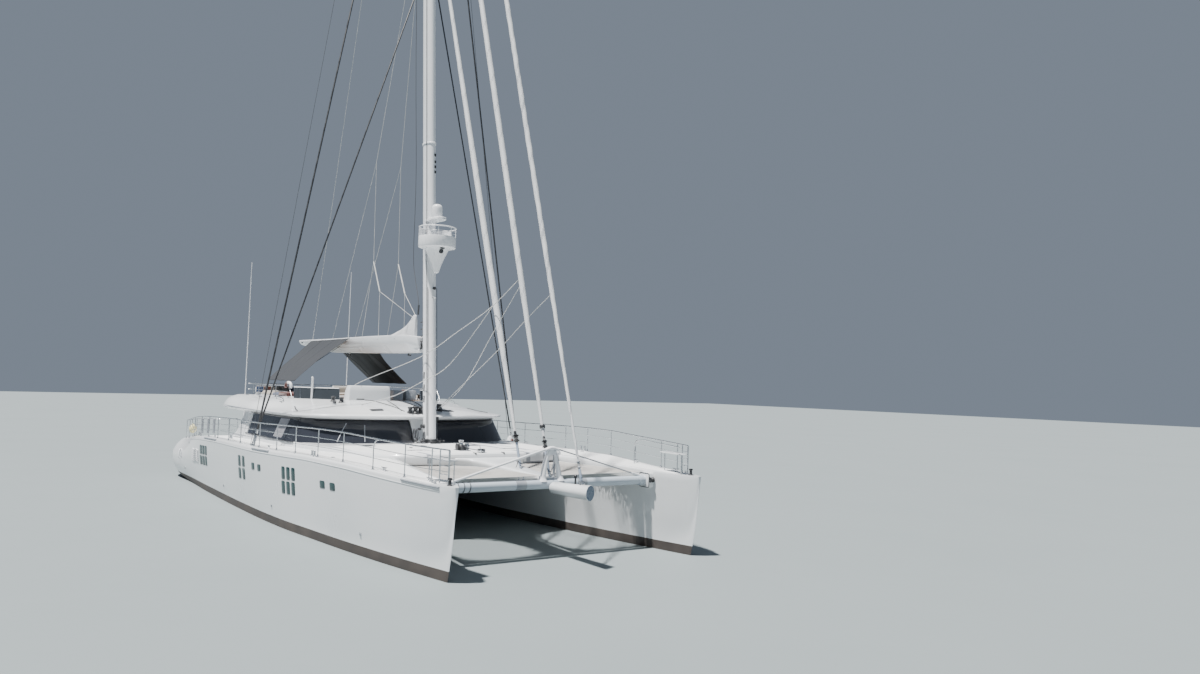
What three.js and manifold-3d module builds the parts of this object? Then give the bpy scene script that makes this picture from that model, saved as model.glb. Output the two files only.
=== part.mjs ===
// Sailing catamaran, a scale model at 1:2 of a yacht about 35.5 m long.
// Every number below is the full-size yacht's, in millimetres. The group at the end halves it.
// +X is the bow, +Y port, +Z up. The origin is amidships on the centreline, at the waterline.

import * as THREE from 'three'
import { mergeVertices } from 'three/addons/utils/BufferGeometryUtils.js'
import Module from 'manifold-3d'

const wasm = await Module()
wasm.setup()

// Driving dimensions
const MODEL_SCALE = 0.5
const GAP = 1.6
const HULL_CENTRE_Y = 4800
const WET_DECK_Z = 1300
const FLOOR_Z = 1950
const FOREDECK_X = 10300
const CROSSBEAM_X = 15600
const CROSSBEAM_Z = 2540
const CROSSBEAM_R = 165
const MAST_BASE = new THREE.Vector3(5500, 0, 3180)
const MAST_RAKE = -0.095
const MAST_TOP_Z = 50600
const RAIL_HEIGHT = 1030
const RAIL_R = 24
const SALOON_AFT_X = -4500
const ROOF_LOW_Z = 4230
const ROOF_TOP_Z = 4980
const SHAFT_Z = -1150
const RUDDER_X = -14300

const boat = new THREE.Group()
const PAINT = {
  white: [0xf3f4f3, 0.25, 0],
  deck: [0xe9eae6, 0.6, 0],
  antifouling: [0x3b3230, 0.8, 0],
  glass: [0x10161c, 0.08, 0],
  steel: [0xb9bec2, 0.2, 1],
  carbon: [0x17181a, 0.35, 0],
  net: [0xb9b3aa, 0.9, 0],
  sail: [0xe6e4de, 0.85, 0],
  fabric: [0x5d626a, 0.9, 0],
  cushion: [0xc9c6bd, 0.9, 0],
  teak: [0x9a7b55, 0.7, 0],
  bronze: [0x9c7a45, 0.35, 1],
}

// Small helpers for shapes

function solidOf(geometry) {
  const plain = geometry.clone()
  plain.deleteAttribute('normal')
  plain.deleteAttribute('uv')
  const merged = mergeVertices(plain, 1e-3)
  return new wasm.Manifold(new wasm.Mesh({
    numProp: 3,
    vertProperties: new Float32Array(merged.attributes.position.array),
    triVerts: new Uint32Array(merged.index.array),
  }))
}

function geometryOf(solid) {
  const mesh = solid.getMesh()
  const geometry = new THREE.BufferGeometry()
  geometry.setAttribute('position', new THREE.BufferAttribute(mesh.vertProperties, 3))
  geometry.setIndex(new THREE.BufferAttribute(mesh.triVerts, 1))
  geometry.computeVertexNormals()
  return geometry
}

function join(geometries) {
  return geometryOf(geometries.map(solidOf).reduce((sum, next) => sum.add(next)))
}

function cut(geometry, cutters) {
  return geometryOf(cutters.map(solidOf).reduce((rest, next) => rest.subtract(next), solidOf(geometry)))
}

function overlap(first, second) {
  return geometryOf(solidOf(first).intersect(solidOf(second)))
}

function add(name, geometry, paint) {
  const [color, roughness, metalness] = PAINT[paint]
  const material = new THREE.MeshStandardMaterial({ color, roughness, metalness })
  const mesh = new THREE.Mesh(geometry, material)
  mesh.name = name
  boat.add(mesh)
  return mesh
}

function box(x0, x1, y0, y1, z0, z1) {
  const geometry = new THREE.BoxGeometry(x1 - x0, y1 - y0, z1 - z0)
  return geometry.translate((x0 + x1) / 2, (y0 + y1) / 2, (z0 + z1) / 2)
}

function rod(from, to, radius, sides = 8, radiusTo = radius) {
  const a = new THREE.Vector3(...from)
  const b = new THREE.Vector3(...to)
  const along = b.clone().sub(a)
  const geometry = new THREE.CylinderGeometry(radiusTo, radius, along.length(), sides)
  const turn = new THREE.Quaternion().setFromUnitVectors(new THREE.Vector3(0, 1, 0), along.normalize())
  geometry.applyQuaternion(turn)
  return geometry.translate((a.x + b.x) / 2, (a.y + b.y) / 2, (a.z + b.z) / 2)
}

// A round tube along a smooth line that passes through every point.
function sweep(points, radius, between, sides = 6) {
  const path = new THREE.CatmullRomCurve3(points.map((p) => new THREE.Vector3(...p)), false, 'centripetal')
  const steps = between * (points.length - 1)
  const rings = Array.from({ length: steps + 1 }, (_, k) => {
    const middle = path.getPoint(k / steps)
    const run = path.getTangent(k / steps)
    const side = run.clone().cross(new THREE.Vector3(0, 0, 1)).normalize()
    const up = side.clone().cross(run)
    return Array.from({ length: sides }, (_, i) => {
      const angle = (i / sides) * Math.PI * 2
      const [c, s] = [radius * Math.cos(angle), radius * Math.sin(angle)]
      return middle.clone().addScaledVector(side, c).addScaledVector(up, s).toArray()
    })
  })
  return loft(rings, 'yz')
}

// A turned body along a straight line: each station is a distance from the start and a radius.
function spindle(from, to, stations, sides = 10) {
  const [a, b] = [new THREE.Vector3(...from), new THREE.Vector3(...to)]
  const run = b.clone().sub(a).normalize()
  const across = new THREE.Vector3(0, 1, 0)
  const up = run.clone().cross(across)
  const rings = stations.map(([distance, radius]) => Array.from({ length: sides }, (_, k) => {
    const angle = (k / sides) * Math.PI * 2
    const [c, s] = [radius * Math.cos(angle), radius * Math.sin(angle)]
    return a.clone().addScaledVector(run, distance).addScaledVector(across, c).addScaledVector(up, s).toArray()
  }))
  return loft(rings, 'xy')
}

// A closed body through rings of equal point count. The plane names the two axes used for the caps.
function loft(rings, plane = 'yz') {
  const count = rings[0].length
  const positions = rings.flat(2)
  const faces = []
  for (let r = 0; r < rings.length - 1; r++) {
    for (let i = 0; i < count; i++) {
      const j = (i + 1) % count
      const [a, b] = [r * count + i, r * count + j]
      faces.push(a, b, b + count, a, b + count, a + count)
    }
  }
  const pick = { yz: (p) => [p[1], p[2]], xy: (p) => [p[0], p[1]], xz: (p) => [p[0], p[2]] }[plane]
  const flat = (ring) => ring.map((p) => new THREE.Vector2(...pick(p)))
  const last = (rings.length - 1) * count
  const turnsLeft = (ring) => THREE.ShapeUtils.area(flat(ring)) > 0
  const [first, final] = [rings[0], rings[rings.length - 1]]
  for (const [a, b, c] of THREE.ShapeUtils.triangulateShape(flat(first), [])) {
    faces.push(...(turnsLeft(first) ? [a, c, b] : [a, b, c]))
  }
  for (const [a, b, c] of THREE.ShapeUtils.triangulateShape(flat(final), [])) {
    faces.push(...(turnsLeft(final) ? [last + a, last + b, last + c] : [last + a, last + c, last + b]))
  }
  const geometry = new THREE.BufferGeometry()
  geometry.setAttribute('position', new THREE.Float32BufferAttribute(positions, 3))
  geometry.setIndex(faces)
  return facingOut(geometry)
}

function facingOut(geometry) {
  const p = geometry.attributes.position
  const index = geometry.index.array
  const [a, b, c] = [new THREE.Vector3(), new THREE.Vector3(), new THREE.Vector3()]
  let volume = 0
  for (let i = 0; i < index.length; i += 3) {
    a.fromBufferAttribute(p, index[i])
    b.fromBufferAttribute(p, index[i + 1])
    c.fromBufferAttribute(p, index[i + 2])
    volume += a.dot(b.cross(c))
  }
  if (volume < 0) {
    for (let i = 0; i < index.length; i += 3) {
      [index[i], index[i + 1]] = [index[i + 1], index[i]]
    }
  }
  geometry.computeVertexNormals()
  return geometry
}

function mirrored(geometry) {
  const copy = geometry.clone().applyMatrix4(new THREE.Matrix4().makeScale(1, -1, 1))
  const index = copy.index ? copy.index.array : null
  if (!index) {
    return mirrored(mergeVertices(geometry.clone(), 1e-3))
  }
  for (let i = 0; i < index.length; i += 3) {
    [index[i], index[i + 1]] = [index[i + 1], index[i]]
  }
  return copy
}

// Adds a port piece and its mirror image on the starboard side.
function addPair(name, portGeometry, paint) {
  add(`${name}_port`, portGeometry, paint)
  add(`${name}_starboard`, mirrored(portGeometry), paint)
}

function mastAt(z) {
  return [MAST_BASE.x + MAST_RAKE * (z - MAST_BASE.z), 0, z]
}

// Hulls: x, keel z, half-width at the waterline, outer and inner greatest half-width, deck z, roundness
const HULL_STATIONS = [
  [18000, 2500, 20, 60, 60, 2865, 0],
  [17850, 1200, 20, 130, 130, 2866, 0],
  [17500, -150, 50, 260, 260, 2872, 0],
  [16700, -520, 190, 430, 400, 2890, 0],
  [15200, -720, 440, 640, 560, 2920, 0],
  [13200, -860, 730, 930, 820, 2985, 0],
  [11200, -950, 980, 1230, 1120, 3060, 0],
  [8500, -1030, 1250, 1450, 1400, 3070, 0],
  [5500, -1080, 1520, 1720, 1560, 3020, 0],
  [2000, -1100, 1650, 1930, 1650, 2960, 0],
  [-2500, -1060, 1690, 1990, 1650, 2930, 0],
  [-7000, -920, 1680, 1970, 1650, 2820, 0.05],
  [-10500, -740, 1600, 1960, 1650, 2650, 0.3],
  [-13000, -560, 1480, 1960, 1640, 2460, 0.75],
  [-15000, -350, 1300, 1950, 1620, 2330, 1],
  [-16200, -80, 1100, 1740, 1440, 2230, 1],
  [-17000, 240, 800, 1300, 1080, 2030, 1],
  [-17400, 620, 500, 760, 640, 1760, 1],
  [-17500, 900, 240, 340, 300, 1500, 1],
]
// Hull section: height from keel to deck, share of the waterline width, share of the flare, and the share of
// the greatest width in the round sterns
const HULL_SECTION = [
  [0, 0.1, 0, 0.15],
  [0.05, 0.42, 0, 0.44],
  [0.13, 0.8, 0, 0.68],
  [0.26, 1, 0, 0.86],
  [0.5, 1, 0.4, 0.99],
  [0.65, 1, 0.64, 1],
  [0.8, 1, 0.85, 0.92],
  [0.9, 1, 0.95, 0.81],
  [0.955, 1, 1, 0.72],
  [0.99, 0.98, 1, 0.6],
  [1, 0.93, 1, 0.5],
]

function hullRing([x, keel, water, outer, inner, deck, round], grow) {
  const side = (widest, sign) => HULL_SECTION.map(([height, width, flare, barrel]) => {
    const slim = water * width + (widest - water) * flare
    const half = slim + round * (widest * barrel - slim) + grow
    const lift = height < 0.2 ? -grow : height === 1 ? grow : 0
    return [x, HULL_CENTRE_Y + sign * half, keel + (deck - keel) * height + lift]
  })
  return [...side(outer, 1), ...side(inner, -1).reverse()]
}

function hullGeometry(grow = 0) {
  return loft(HULL_STATIONS.map((station) => hullRing(station, grow)), 'yz')
}

const hull = hullGeometry()
addPair('hull', hull, 'white')

// Stub keels: columns are height, leading edge x, trailing edge x, half thickness
const KEEL_LEVELS = [
  [-900, 4600, -3400, 260],
  [-1600, 4000, -3000, 210],
  [-2150, 3500, -2600, 150],
]
function keelGeometry() {
  const rings = KEEL_LEVELS.map(([z, lead, trail, half]) => {
    const length = lead - trail
    const foil = [[0, 0], [0.05, 0.55], [0.2, 1], [0.45, 1], [0.8, 0.5], [1, 0.06]]
    const port = foil.map(([t, w]) => [lead - t * length, HULL_CENTRE_Y + w * half, z])
    const starboard = foil.slice(1).reverse().map(([t, w]) => [lead - t * length, HULL_CENTRE_Y - w * half, z])
    return [...port, ...starboard]
  })
  return cut(loft(rings, 'xy'), [hullGeometry(GAP)])
}
addPair('keel', keelGeometry(), 'antifouling')

// Bridge deck between the hulls, with the saloon and cockpit well sunk into it
const BRIDGE_SIDE = [
  [FOREDECK_X, 3040],
  [FOREDECK_X, 2300],
  [9700, 1800],
  [8300, 1430],
  [6500, WET_DECK_Z],
  [-9500, WET_DECK_Z],
  [-12300, 1500],
  [-12300, 2460],
  [-10500, 2610],
  [-7000, 2790],
  [-2500, 2900],
  [2000, 2940],
  [5500, 3000],
  [8500, 3050],
]
function bridgeSlab(lift = 0) {
  const shape = new THREE.Shape(BRIDGE_SIDE.map(([x, z]) => new THREE.Vector2(x, z + lift)))
  const slab = new THREE.ExtrudeGeometry(shape, { depth: 7800, bevelEnabled: false })
  return slab.rotateX(Math.PI / 2).translate(0, 3900, 0)
}
const grownHull = hullGeometry(GAP)
const GROWN_HULLS = [grownHull, mirrored(grownHull)]
// Foredeck lockers: x and y of the middle, half length, half width, depth of floor
const LOCKER = { x: 9300, y: 2100, halfLength: 520, halfWidth: 460, floorZ: 2050 }
function lockerWell(side, grow = 0) {
  const { x, y, halfLength, halfWidth, floorZ } = LOCKER
  return box(
    x - halfLength - grow, x + halfLength + grow, side * y - halfWidth - grow, side * y + halfWidth + grow,
    floorZ, 3600,
  )
}
function bridgeDeck() {
  const well = box(-11300, 3900, -2850, 2850, FLOOR_Z, 4000)
  const aftSteps = box(-12900, -11200, -1100, 1100, 2200, 4000)
  return cut(bridgeSlab(), [well, aftSteps, lockerWell(1), lockerWell(-1), ...GROWN_HULLS])
}
add('bridge_deck', bridgeDeck(), 'white')

// Foredeck moulding: a raised, cambered panel ahead of the windscreen
const MOULDING_EDGE = [
  [11180, 0], [11130, 1700], [10900, 2650], [10550, 3500], [9900, 4080], [8000, 4550], [5000, 5050],
  [3500, 5200],
]
const MOULDING_AFT = [[3250, 4950], [4250, 3950], [4980, 1700]]
const MOULDING_LEVELS = [[0, 2900, 0], [0, 3150, 20], [140, 3200, 60]]
function mouldingRing([inset, z, camber]) {
  const edge = MOULDING_EDGE.map(([x, y]) => [x - inset, y > 0 ? y - inset : 0])
  const port = [...edge, ...MOULDING_AFT]
  const ring = [...port, [5080, 0], ...port.slice(1).reverse().map(([x, y]) => [x, -y])]
  return ring.map(([x, y]) => [x, y, z + camber * (1 - (y / 5300) ** 2)])
}
function mouldingBody() {
  return loft(MOULDING_LEVELS.map(mouldingRing), 'xy')
}
function foredeckMoulding() {
  return cut(mouldingBody(), [bridgeSlab(GAP), lockerWell(1), lockerWell(-1), ...GROWN_HULLS])
}
add('foredeck_moulding', foredeckMoulding(), 'deck')

// Saloon walls: columns are x and y of the port half, at the sill and at the eaves
const SALOON_SILL = [
  [4720, 0], [4650, 1500], [4420, 3000], [3880, 4250], [2950, 5020], [1100, 5350], [-1500, 5420],
  [SALOON_AFT_X, 5440],
]
const SALOON_EAVES = [
  [4020, 0], [3950, 1500], [3730, 2950], [3250, 4050], [2380, 4740], [650, 5060], [-1700, 5140],
  [SALOON_AFT_X, 5160],
]
const SALOON_LOW_Z = 2900
const SILL_Z = 3190
const HEAD_Z = 4150
const WALL = 120
function saloonOutline(z) {
  const t = (z - SILL_Z) / (ROOF_LOW_Z - SILL_Z)
  return SALOON_SILL.map(([x, y], i) => [x + t * (SALOON_EAVES[i][0] - x), y + t * (SALOON_EAVES[i][1] - y)])
}
function saloonRing(z, inset) {
  const port = saloonOutline(z).map(([x, y], i, all) => {
    const before = all[Math.max(i - 1, 0)]
    const after = all[Math.min(i + 1, all.length - 1)]
    const run = new THREE.Vector2(after[0] - before[0], after[1] - before[1]).normalize()
    return [x - inset * run.y, y > 0 ? y + inset * run.x : 0]
  })
  const starboard = port.slice(1).reverse().map(([x, y]) => [x, -y])
  return [...port, ...starboard].map(([x, y]) => [x, y, z])
}
function saloonBody(inset, low, high) {
  return loft([saloonRing(low, inset), saloonRing(high, inset)], 'xy')
}
const SIDE_WINDOW = { aft: -3950, fore: 1900, inner: 4300, outer: 6000 }
const FRONT_WINDOW = { aft: 2250, fore: 5600, inner: 330, outer: 4560 }
function sideCutter(shrink) {
  const { aft, fore, inner, outer } = SIDE_WINDOW
  return box(aft + shrink, fore - shrink, inner, outer, SILL_Z + shrink, HEAD_Z - shrink)
}
function frontCutter(shrink) {
  const { aft, fore, inner, outer } = FRONT_WINDOW
  return box(aft + shrink, fore, inner + shrink, outer - shrink, SILL_Z + shrink, HEAD_Z - shrink)
}
const WELL_HALF = 2845
function saloonWalls() {
  const cutters = [sideCutter(0), frontCutter(0)]
  return cut(saloonBody(0, SALOON_LOW_Z, ROOF_LOW_Z - GAP), [
    saloonBody(WALL, SALOON_LOW_Z - 10, ROOF_LOW_Z + 10),
    box(SALOON_AFT_X - 100, SALOON_AFT_X + 110, -5700, 5700, 2800, 4400),
    ...cutters, ...cutters.map(mirrored), ...GROWN_HULLS, bridgeSlab(GAP), ...aroundMoulding(),
  ])
}
function aroundMoulding() {
  const shifts = [[0, 0, GAP], [-GAP, 0, 0], [GAP, 0, 0], [0, GAP, 0], [0, -GAP, 0]]
  return shifts.map((shift) => mouldingBody().translate(...shift))
}
add('saloon_walls', saloonWalls(), 'white')
function paneOf(cutter) {
  const outside = saloonBody(35, SALOON_LOW_Z, ROOF_LOW_Z)
  const inside = saloonBody(80, SALOON_LOW_Z - 10, ROOF_LOW_Z + 10)
  return overlap(cut(outside, [inside]), cutter)
}
addPair('side_glass', paneOf(sideCutter(3)), 'glass')
addPair('windscreen', paneOf(frontCutter(3)), 'glass')

// Aft bulkhead of the saloon, with a fixed light, a doorway and side lights
const DOOR = { starboard: -1500, port: 1500, low: 2010, high: 3980 }
function bulkhead() {
  const wide = box(SALOON_AFT_X, SALOON_AFT_X + 100, -5120, 5120, 3000, ROOF_LOW_Z - GAP)
  const deep = box(SALOON_AFT_X, SALOON_AFT_X + 100, -WELL_HALF, WELL_HALF, FLOOR_Z + GAP, 3050)
  const doorway = box(-5000, -4000, 20, DOOR.port, DOOR.low, DOOR.high)
  const light = box(-5000, -4000, DOOR.starboard, -60, DOOR.low, DOOR.high)
  return cut(join([wide, deep]), [doorway, light, ...GROWN_HULLS])
}
add('saloon_bulkhead', bulkhead(), 'white')
add('aft_light_glass', box(-4470, -4440, DOOR.starboard + 3, -63, DOOR.low + 3, DOOR.high - 3), 'glass')

// Sliding door: one framed leaf on the aft side of the bulkhead
function doorLeaf() {
  const frame = box(SALOON_AFT_X - 75, SALOON_AFT_X - 20, -30, DOOR.port + 60, DOOR.low - 30, DOOR.high + 30)
  const pull = rod([SALOON_AFT_X - 110, 1380, 2900], [SALOON_AFT_X - 110, 1380, 3300], 18)
  const arms = [2920, 3280].map((z) => rod([SALOON_AFT_X - 110, 1380, z], [SALOON_AFT_X - 60, 1380, z], 14))
  return join([frame, pull, ...arms])
}
add('saloon_door', doorLeaf(), 'glass')

// Coachroof: port half of its outline, x and y
const ROOF_EDGE = [
  [4650, 0], [4570, 1500], [4300, 3000], [3720, 4320], [2620, 5090], [800, 5450], [-2500, 5600],
  [-6000, 5620], [-8600, 5540], [-9750, 5150], [-10350, 4300], [-10560, 2500], [-10600, 0],
]
// Levels of the coachroof: height, inset at the sides and aft, inset at the front, more at the fore corners
const ROOF_LEVELS = [
  [ROOF_LOW_Z, 420, 260, 0],
  [4300, 130, 60, 0],
  [4360, 0, 0, 0],
  [4420, 10, 30, 0],
  [4520, 100, 450, 800],
  [4740, 400, 1500, 1500],
  [4880, 850, 2500, 1700],
  [ROOF_TOP_Z, 1500, 3400, 1400],
]
// Forward of this point of the edge the roof is drawn in towards its nose
const [SHOULDER_X, SHOULDER_Y] = ROOF_EDGE[6]
// The sides stand steeper towards the aft end
function steepness(x) {
  return 1 - 0.5 * Math.min(Math.max((-4000 - x) / 4000, 0), 1)
}
function roofRing([z, side, front, corner]) {
  const port = ROOF_EDGE.map(([x, y], i, all) => {
    if (x > SHOULDER_X) {
      const ahead = x - SHOULDER_X
      const inset = side + corner * Math.min(ahead / 5000, 1)
      const shorter = 1 - front / (ROOF_EDGE[0][0] - SHOULDER_X)
      return [SHOULDER_X + ahead * shorter, y * (1 - inset / SHOULDER_Y)]
    }
    const inset = side * steepness(x)
    const after = i === all.length - 1 ? [all[i - 1][0], -all[i - 1][1]] : all[i + 1]
    const run = new THREE.Vector2(after[0] - all[i - 1][0], after[1] - all[i - 1][1]).normalize()
    return [x - inset * run.y, y > 0 ? y + inset * run.x : 0]
  })
  const starboard = port.slice(1, -1).reverse().map(([x, y]) => [x, -y])
  return [...port, ...starboard].map(([x, y]) => [x, y, z])
}
function coachroof() {
  return loft(ROOF_LEVELS.map(roofRing), 'xy')
}
add('coachroof', coachroof(), 'white')

// Aft buttresses: from the side deck up to the roof, x and z of the outline, leaning in like the saloon's sides
const BUTTRESS_FORE = SALOON_AFT_X - GAP
const BUTTRESS = [
  [BUTTRESS_FORE, ROOF_LOW_Z - GAP], [-6150, ROOF_LOW_Z - GAP], [-5960, 4060], [-5950, 3500], [-6050, 3150],
  [-6300, 3000], [-7200, 2900], [BUTTRESS_FORE, 2900],
]
const BUTTRESS_LEAN = 0.27
function buttress() {
  const shape = new THREE.Shape(BUTTRESS.map(([x, z]) => new THREE.Vector2(x, z)))
  const slab = new THREE.ExtrudeGeometry(shape, { depth: 230, bevelEnabled: false })
  slab.rotateX(Math.PI / 2).translate(0, 5470 + BUTTRESS_LEAN * SILL_Z, 0)
  const lean = new THREE.Matrix4().set(1, 0, 0, 0, 0, 1, -BUTTRESS_LEAN, 0, 0, 0, 1, 0, 0, 0, 0, 1)
  return cut(slab.applyMatrix4(lean), GROWN_HULLS)
}
addPair('buttress', buttress(), 'white')

// Furniture
add('saloon_sofa', join([
  box(-3200, 2600, 1900, WELL_HALF - 4, FLOOR_Z + GAP, 2420),
  box(-3200, 2600, 2560, WELL_HALF - 4, 2400, 2880),
]), 'cushion')
add('saloon_counter', box(-3200, 1800, -WELL_HALF + 4, -2150, FLOOR_Z + GAP, 2870), 'white')
add('cockpit_sofa', join([
  box(-9800, -5900, 2050, WELL_HALF - 4, FLOOR_Z + GAP, 2400),
  box(-10600, -9790, -WELL_HALF + 4, WELL_HALF - 4, FLOOR_Z + GAP, 2400),
  box(-10600, -10400, -WELL_HALF + 4, WELL_HALF - 4, 2390, 2780),
  box(-9800, -5900, 2640, WELL_HALF - 4, 2390, 2780),
]), 'cushion')
add('cockpit_table', join([
  box(-9100, -6700, -300, 1300, 2620, 2680),
  box(-8300, -7500, 250, 750, FLOOR_Z + GAP, 2640),
]), 'teak')

// Flybridge, on the coachroof
const FLY_Z = ROOF_TOP_Z + GAP
const WHEEL = { x: -470, y: -1250, z: 5350, radius: 300 }
function helmConsole() {
  const body = loft([
    [[-350, -1900, FLY_Z], [350, -1900, FLY_Z], [350, 400, FLY_Z], [-350, 400, FLY_Z]],
    [[-280, -1880, 5420], [340, -1880, 5420], [340, 380, 5420], [-280, 380, 5420]],
    [[-90, -1850, 5700], [300, -1850, 5700], [300, 350, 5700], [-90, 350, 5700]],
  ], 'xy')
  return join([body, rod([WHEEL.x + 44, WHEEL.y, WHEEL.z], [0, WHEEL.y, WHEEL.z], 30, 10)])
}
add('flybridge_console', helmConsole(), 'white')
add('flybridge_seat', join([
  box(-2500, -1500, -1750, 300, FLY_Z, 5290),
  box(-2560, -2400, -1750, 300, 5200, 5640),
]), 'cushion')
add('flybridge_sofa', join([
  box(-8850, -7950, -3650, 3650, FLY_Z, 5260),
  box(-8050, -3000, -3850, -3050, FLY_Z, 5260),
  box(-8050, -3000, 3050, 3850, FLY_Z, 5260),
  box(-9000, -8800, -3850, 3850, FLY_Z, 5500),
]), 'cushion')
add('flybridge_table', join([
  box(-6300, -4300, -900, 900, 5380, 5430),
  rod([-5300, 0, FLY_Z], [-5300, 0, 5400], 120, 12),
]), 'teak')
const FLY_RAIL = [[-2600, 3960], [-6000, 4080], [-8750, 4000], [-9180, 3500]]
function flybridgeRail() {
  const side = (s) => FLY_RAIL.map(([x, y]) => [x, s * y, 5590])
  const path = [...side(-1), ...side(1).reverse()]
  const posts = path.map(([x, y, z]) => rod([x, y, 4700], [x, y, z], 20, 6))
  return cut(join([sweep(path, 22, 3), ...posts]), [coachroof().translate(0, 0, GAP)])
}
add('flybridge_rail', flybridgeRail(), 'steel')
function helmWheel() {
  const rim = new THREE.TorusGeometry(WHEEL.radius, 20, 6, 24)
  const spokes = [0, 1, 2].map((k) => {
    return new THREE.CylinderGeometry(12, 12, WHEEL.radius * 2, 6).rotateZ((k * Math.PI) / 3)
  })
  const hub = new THREE.CylinderGeometry(55, 55, 60, 14).rotateX(Math.PI / 2)
  const wheel = join([rim, ...spokes, hub])
  return wheel.rotateY(Math.PI / 2).translate(WHEEL.x, WHEEL.y, WHEEL.z)
}
add('helm_wheel', helmWheel(), 'steel')

// Forward structure
function crossbeamBody(grow = 0) {
  return rod([CROSSBEAM_X, -4600, CROSSBEAM_Z], [CROSSBEAM_X, 4600, CROSSBEAM_Z], CROSSBEAM_R + grow, 20)
}
add('crossbeam', cut(crossbeamBody(), GROWN_HULLS), 'white')
const POD = { aft: [15800, 0, 2430], fore: [18150, 0, 2490], aftRadius: 205, foreRadius: 260 }
function podBody(grow = 0) {
  return rod(POD.aft, POD.fore, POD.aftRadius + grow, 20, POD.foreRadius + grow)
}
add('bow_pod', podBody(), 'white')
// Longeron, wide where it runs out of the foredeck: x, half width low, half width high, top z
const LONGERON_LOW_Z = 2500
const LONGERON = [
  [FOREDECK_X + GAP, 1450, 1600, 3100],
  [11050, 1450, 1600, 3100],
  [11500, 900, 1000, 3060],
  [12500, 500, 560, 2950],
  [14000, 320, 380, 2850],
  [15530, 240, 300, 2780],
]
function longeronBody() {
  return loft(LONGERON.map(([x, low, high, top]) => [
    [x, -low, LONGERON_LOW_Z], [x, low, LONGERON_LOW_Z], [x, high, top], [x, -high, top],
  ]))
}
const longeronGaps = [[0, 0, -GAP], [GAP, 0, 0]].map((shift) => mouldingBody().translate(...shift))
add('longeron', cut(longeronBody(), [crossbeamBody(GAP), ...longeronGaps]), 'white')
const STRIKER = { half: 270, apexHalf: 350, apexZ: 3740, endY: 4050, endZ: 2670 }
function strikerFrame() {
  const { half, apexHalf, apexZ, endY, endZ } = STRIKER
  const at = (y, z) => [CROSSBEAM_X, y, z]
  const legs = [1, -1].map((s) => rod(at(s * half, CROSSBEAM_Z), at(s * half, apexZ), 60, 10))
  const apex = rod(at(-apexHalf, apexZ), at(apexHalf, apexZ), 75, 10)
  const ties = [1, -1].map((s) => rod(at(s * half, apexZ), at(s * endY, endZ), 32, 8))
  return cut(join([apex, ...legs, ...ties]), [crossbeamBody(GAP), ...GROWN_HULLS])
}
add('striker_frame', strikerFrame(), 'white')

// Trampolines: corner points of the port net, x and y
const NET = [
  [10340, 1650], [11080, 1650], [11540, 1050], [12530, 610], [14000, 430], [15400, 350], [15400, 4150],
  [13200, 3890], [11200, 3590], [10340, 3480],
]
function trampoline() {
  const shape = new THREE.Shape(NET.map(([x, y]) => new THREE.Vector2(x, y)))
  return new THREE.ExtrudeGeometry(shape, { depth: 30, bevelEnabled: false }).translate(0, 0, 2790)
}
addPair('trampoline', trampoline(), 'net')

// Mast: height, half length, half width
const MAST_LEVELS = [[3260, 420, 250], [34000, 420, 250], [44000, 330, 210], [MAST_TOP_Z, 200, 150]]
const MAST_SIDES = 16
function mastBody(grow = 0) {
  const rings = MAST_LEVELS.map(([z, long, wide]) => {
    const [cx] = mastAt(z)
    return Array.from({ length: MAST_SIDES }, (_, k) => {
      const a = (k / MAST_SIDES) * Math.PI * 2
      return [cx + (long + grow) * Math.cos(a), (wide + grow) * Math.sin(a), z]
    })
  })
  return loft(rings, 'xy')
}
// The gooseneck's barrel stands on the axis that the boom swings about, parallel to the mast
const BOOM_PIVOT = { x: 4520, z: 7620, barrel: 75, half: 190 }
// Aerial dome on its plate ahead of the mast: radius and height of the dome's outline
const DOME_X = 5330
const DOME = [[0, 13290], [215, 13290], [225, 13620], [190, 13850], [100, 13960], [0, 13980]]
function turned(outline, sides) {
  return new THREE.LatheGeometry(outline.map(([r, z]) => new THREE.Vector2(r, z)), sides).rotateX(Math.PI / 2)
}
function mastWithFittings() {
  const { x, z, barrel, half } = BOOM_PIVOT
  const arm = rod([x, 0, z], [mastAt(z)[0] - 300, 0, z], 60, 10)
  const pin = rod([x - MAST_RAKE * half, 0, z - half], [x + MAST_RAKE * half, 0, z + half], barrel, 14)
  const plate = box(4500, DOME_X + 390, -270, 270, 13220, 13330)
  return join([mastBody(), arm, pin, plate, turned(DOME, 16).translate(DOME_X, 0, 0)])
}
add('mast', mastWithFittings(), 'white')

// Crow's nest: an open tub on a tapered bracket, with a rail above its wall
const NEST_X = 5470
const NEST_TUB = [
  [0, 10820], [110, 10840], [210, 11200], [380, 11600], [540, 11930], [800, 11960], [830, 12000],
  [830, 12720], [775, 12720], [775, 12070], [0, 12070],
]
const NEST_RAIL_Z = 12960
function crowsNest() {
  const ring = new THREE.TorusGeometry(815, 28, 6, 24).translate(0, 0, NEST_RAIL_Z)
  const posts = Array.from({ length: 6 }, (_, k) => {
    const [c, s] = [803 * Math.cos((k / 6) * Math.PI * 2), 803 * Math.sin((k / 6) * Math.PI * 2)]
    return rod([c, s, 12680], [c, s, NEST_RAIL_Z], 20, 6)
  })
  return cut(join([turned(NEST_TUB, 24), ring, ...posts]).translate(NEST_X, 0, 0), [mastBody(GAP)])
}
add('crows_nest', crowsNest(), 'white')

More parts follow.
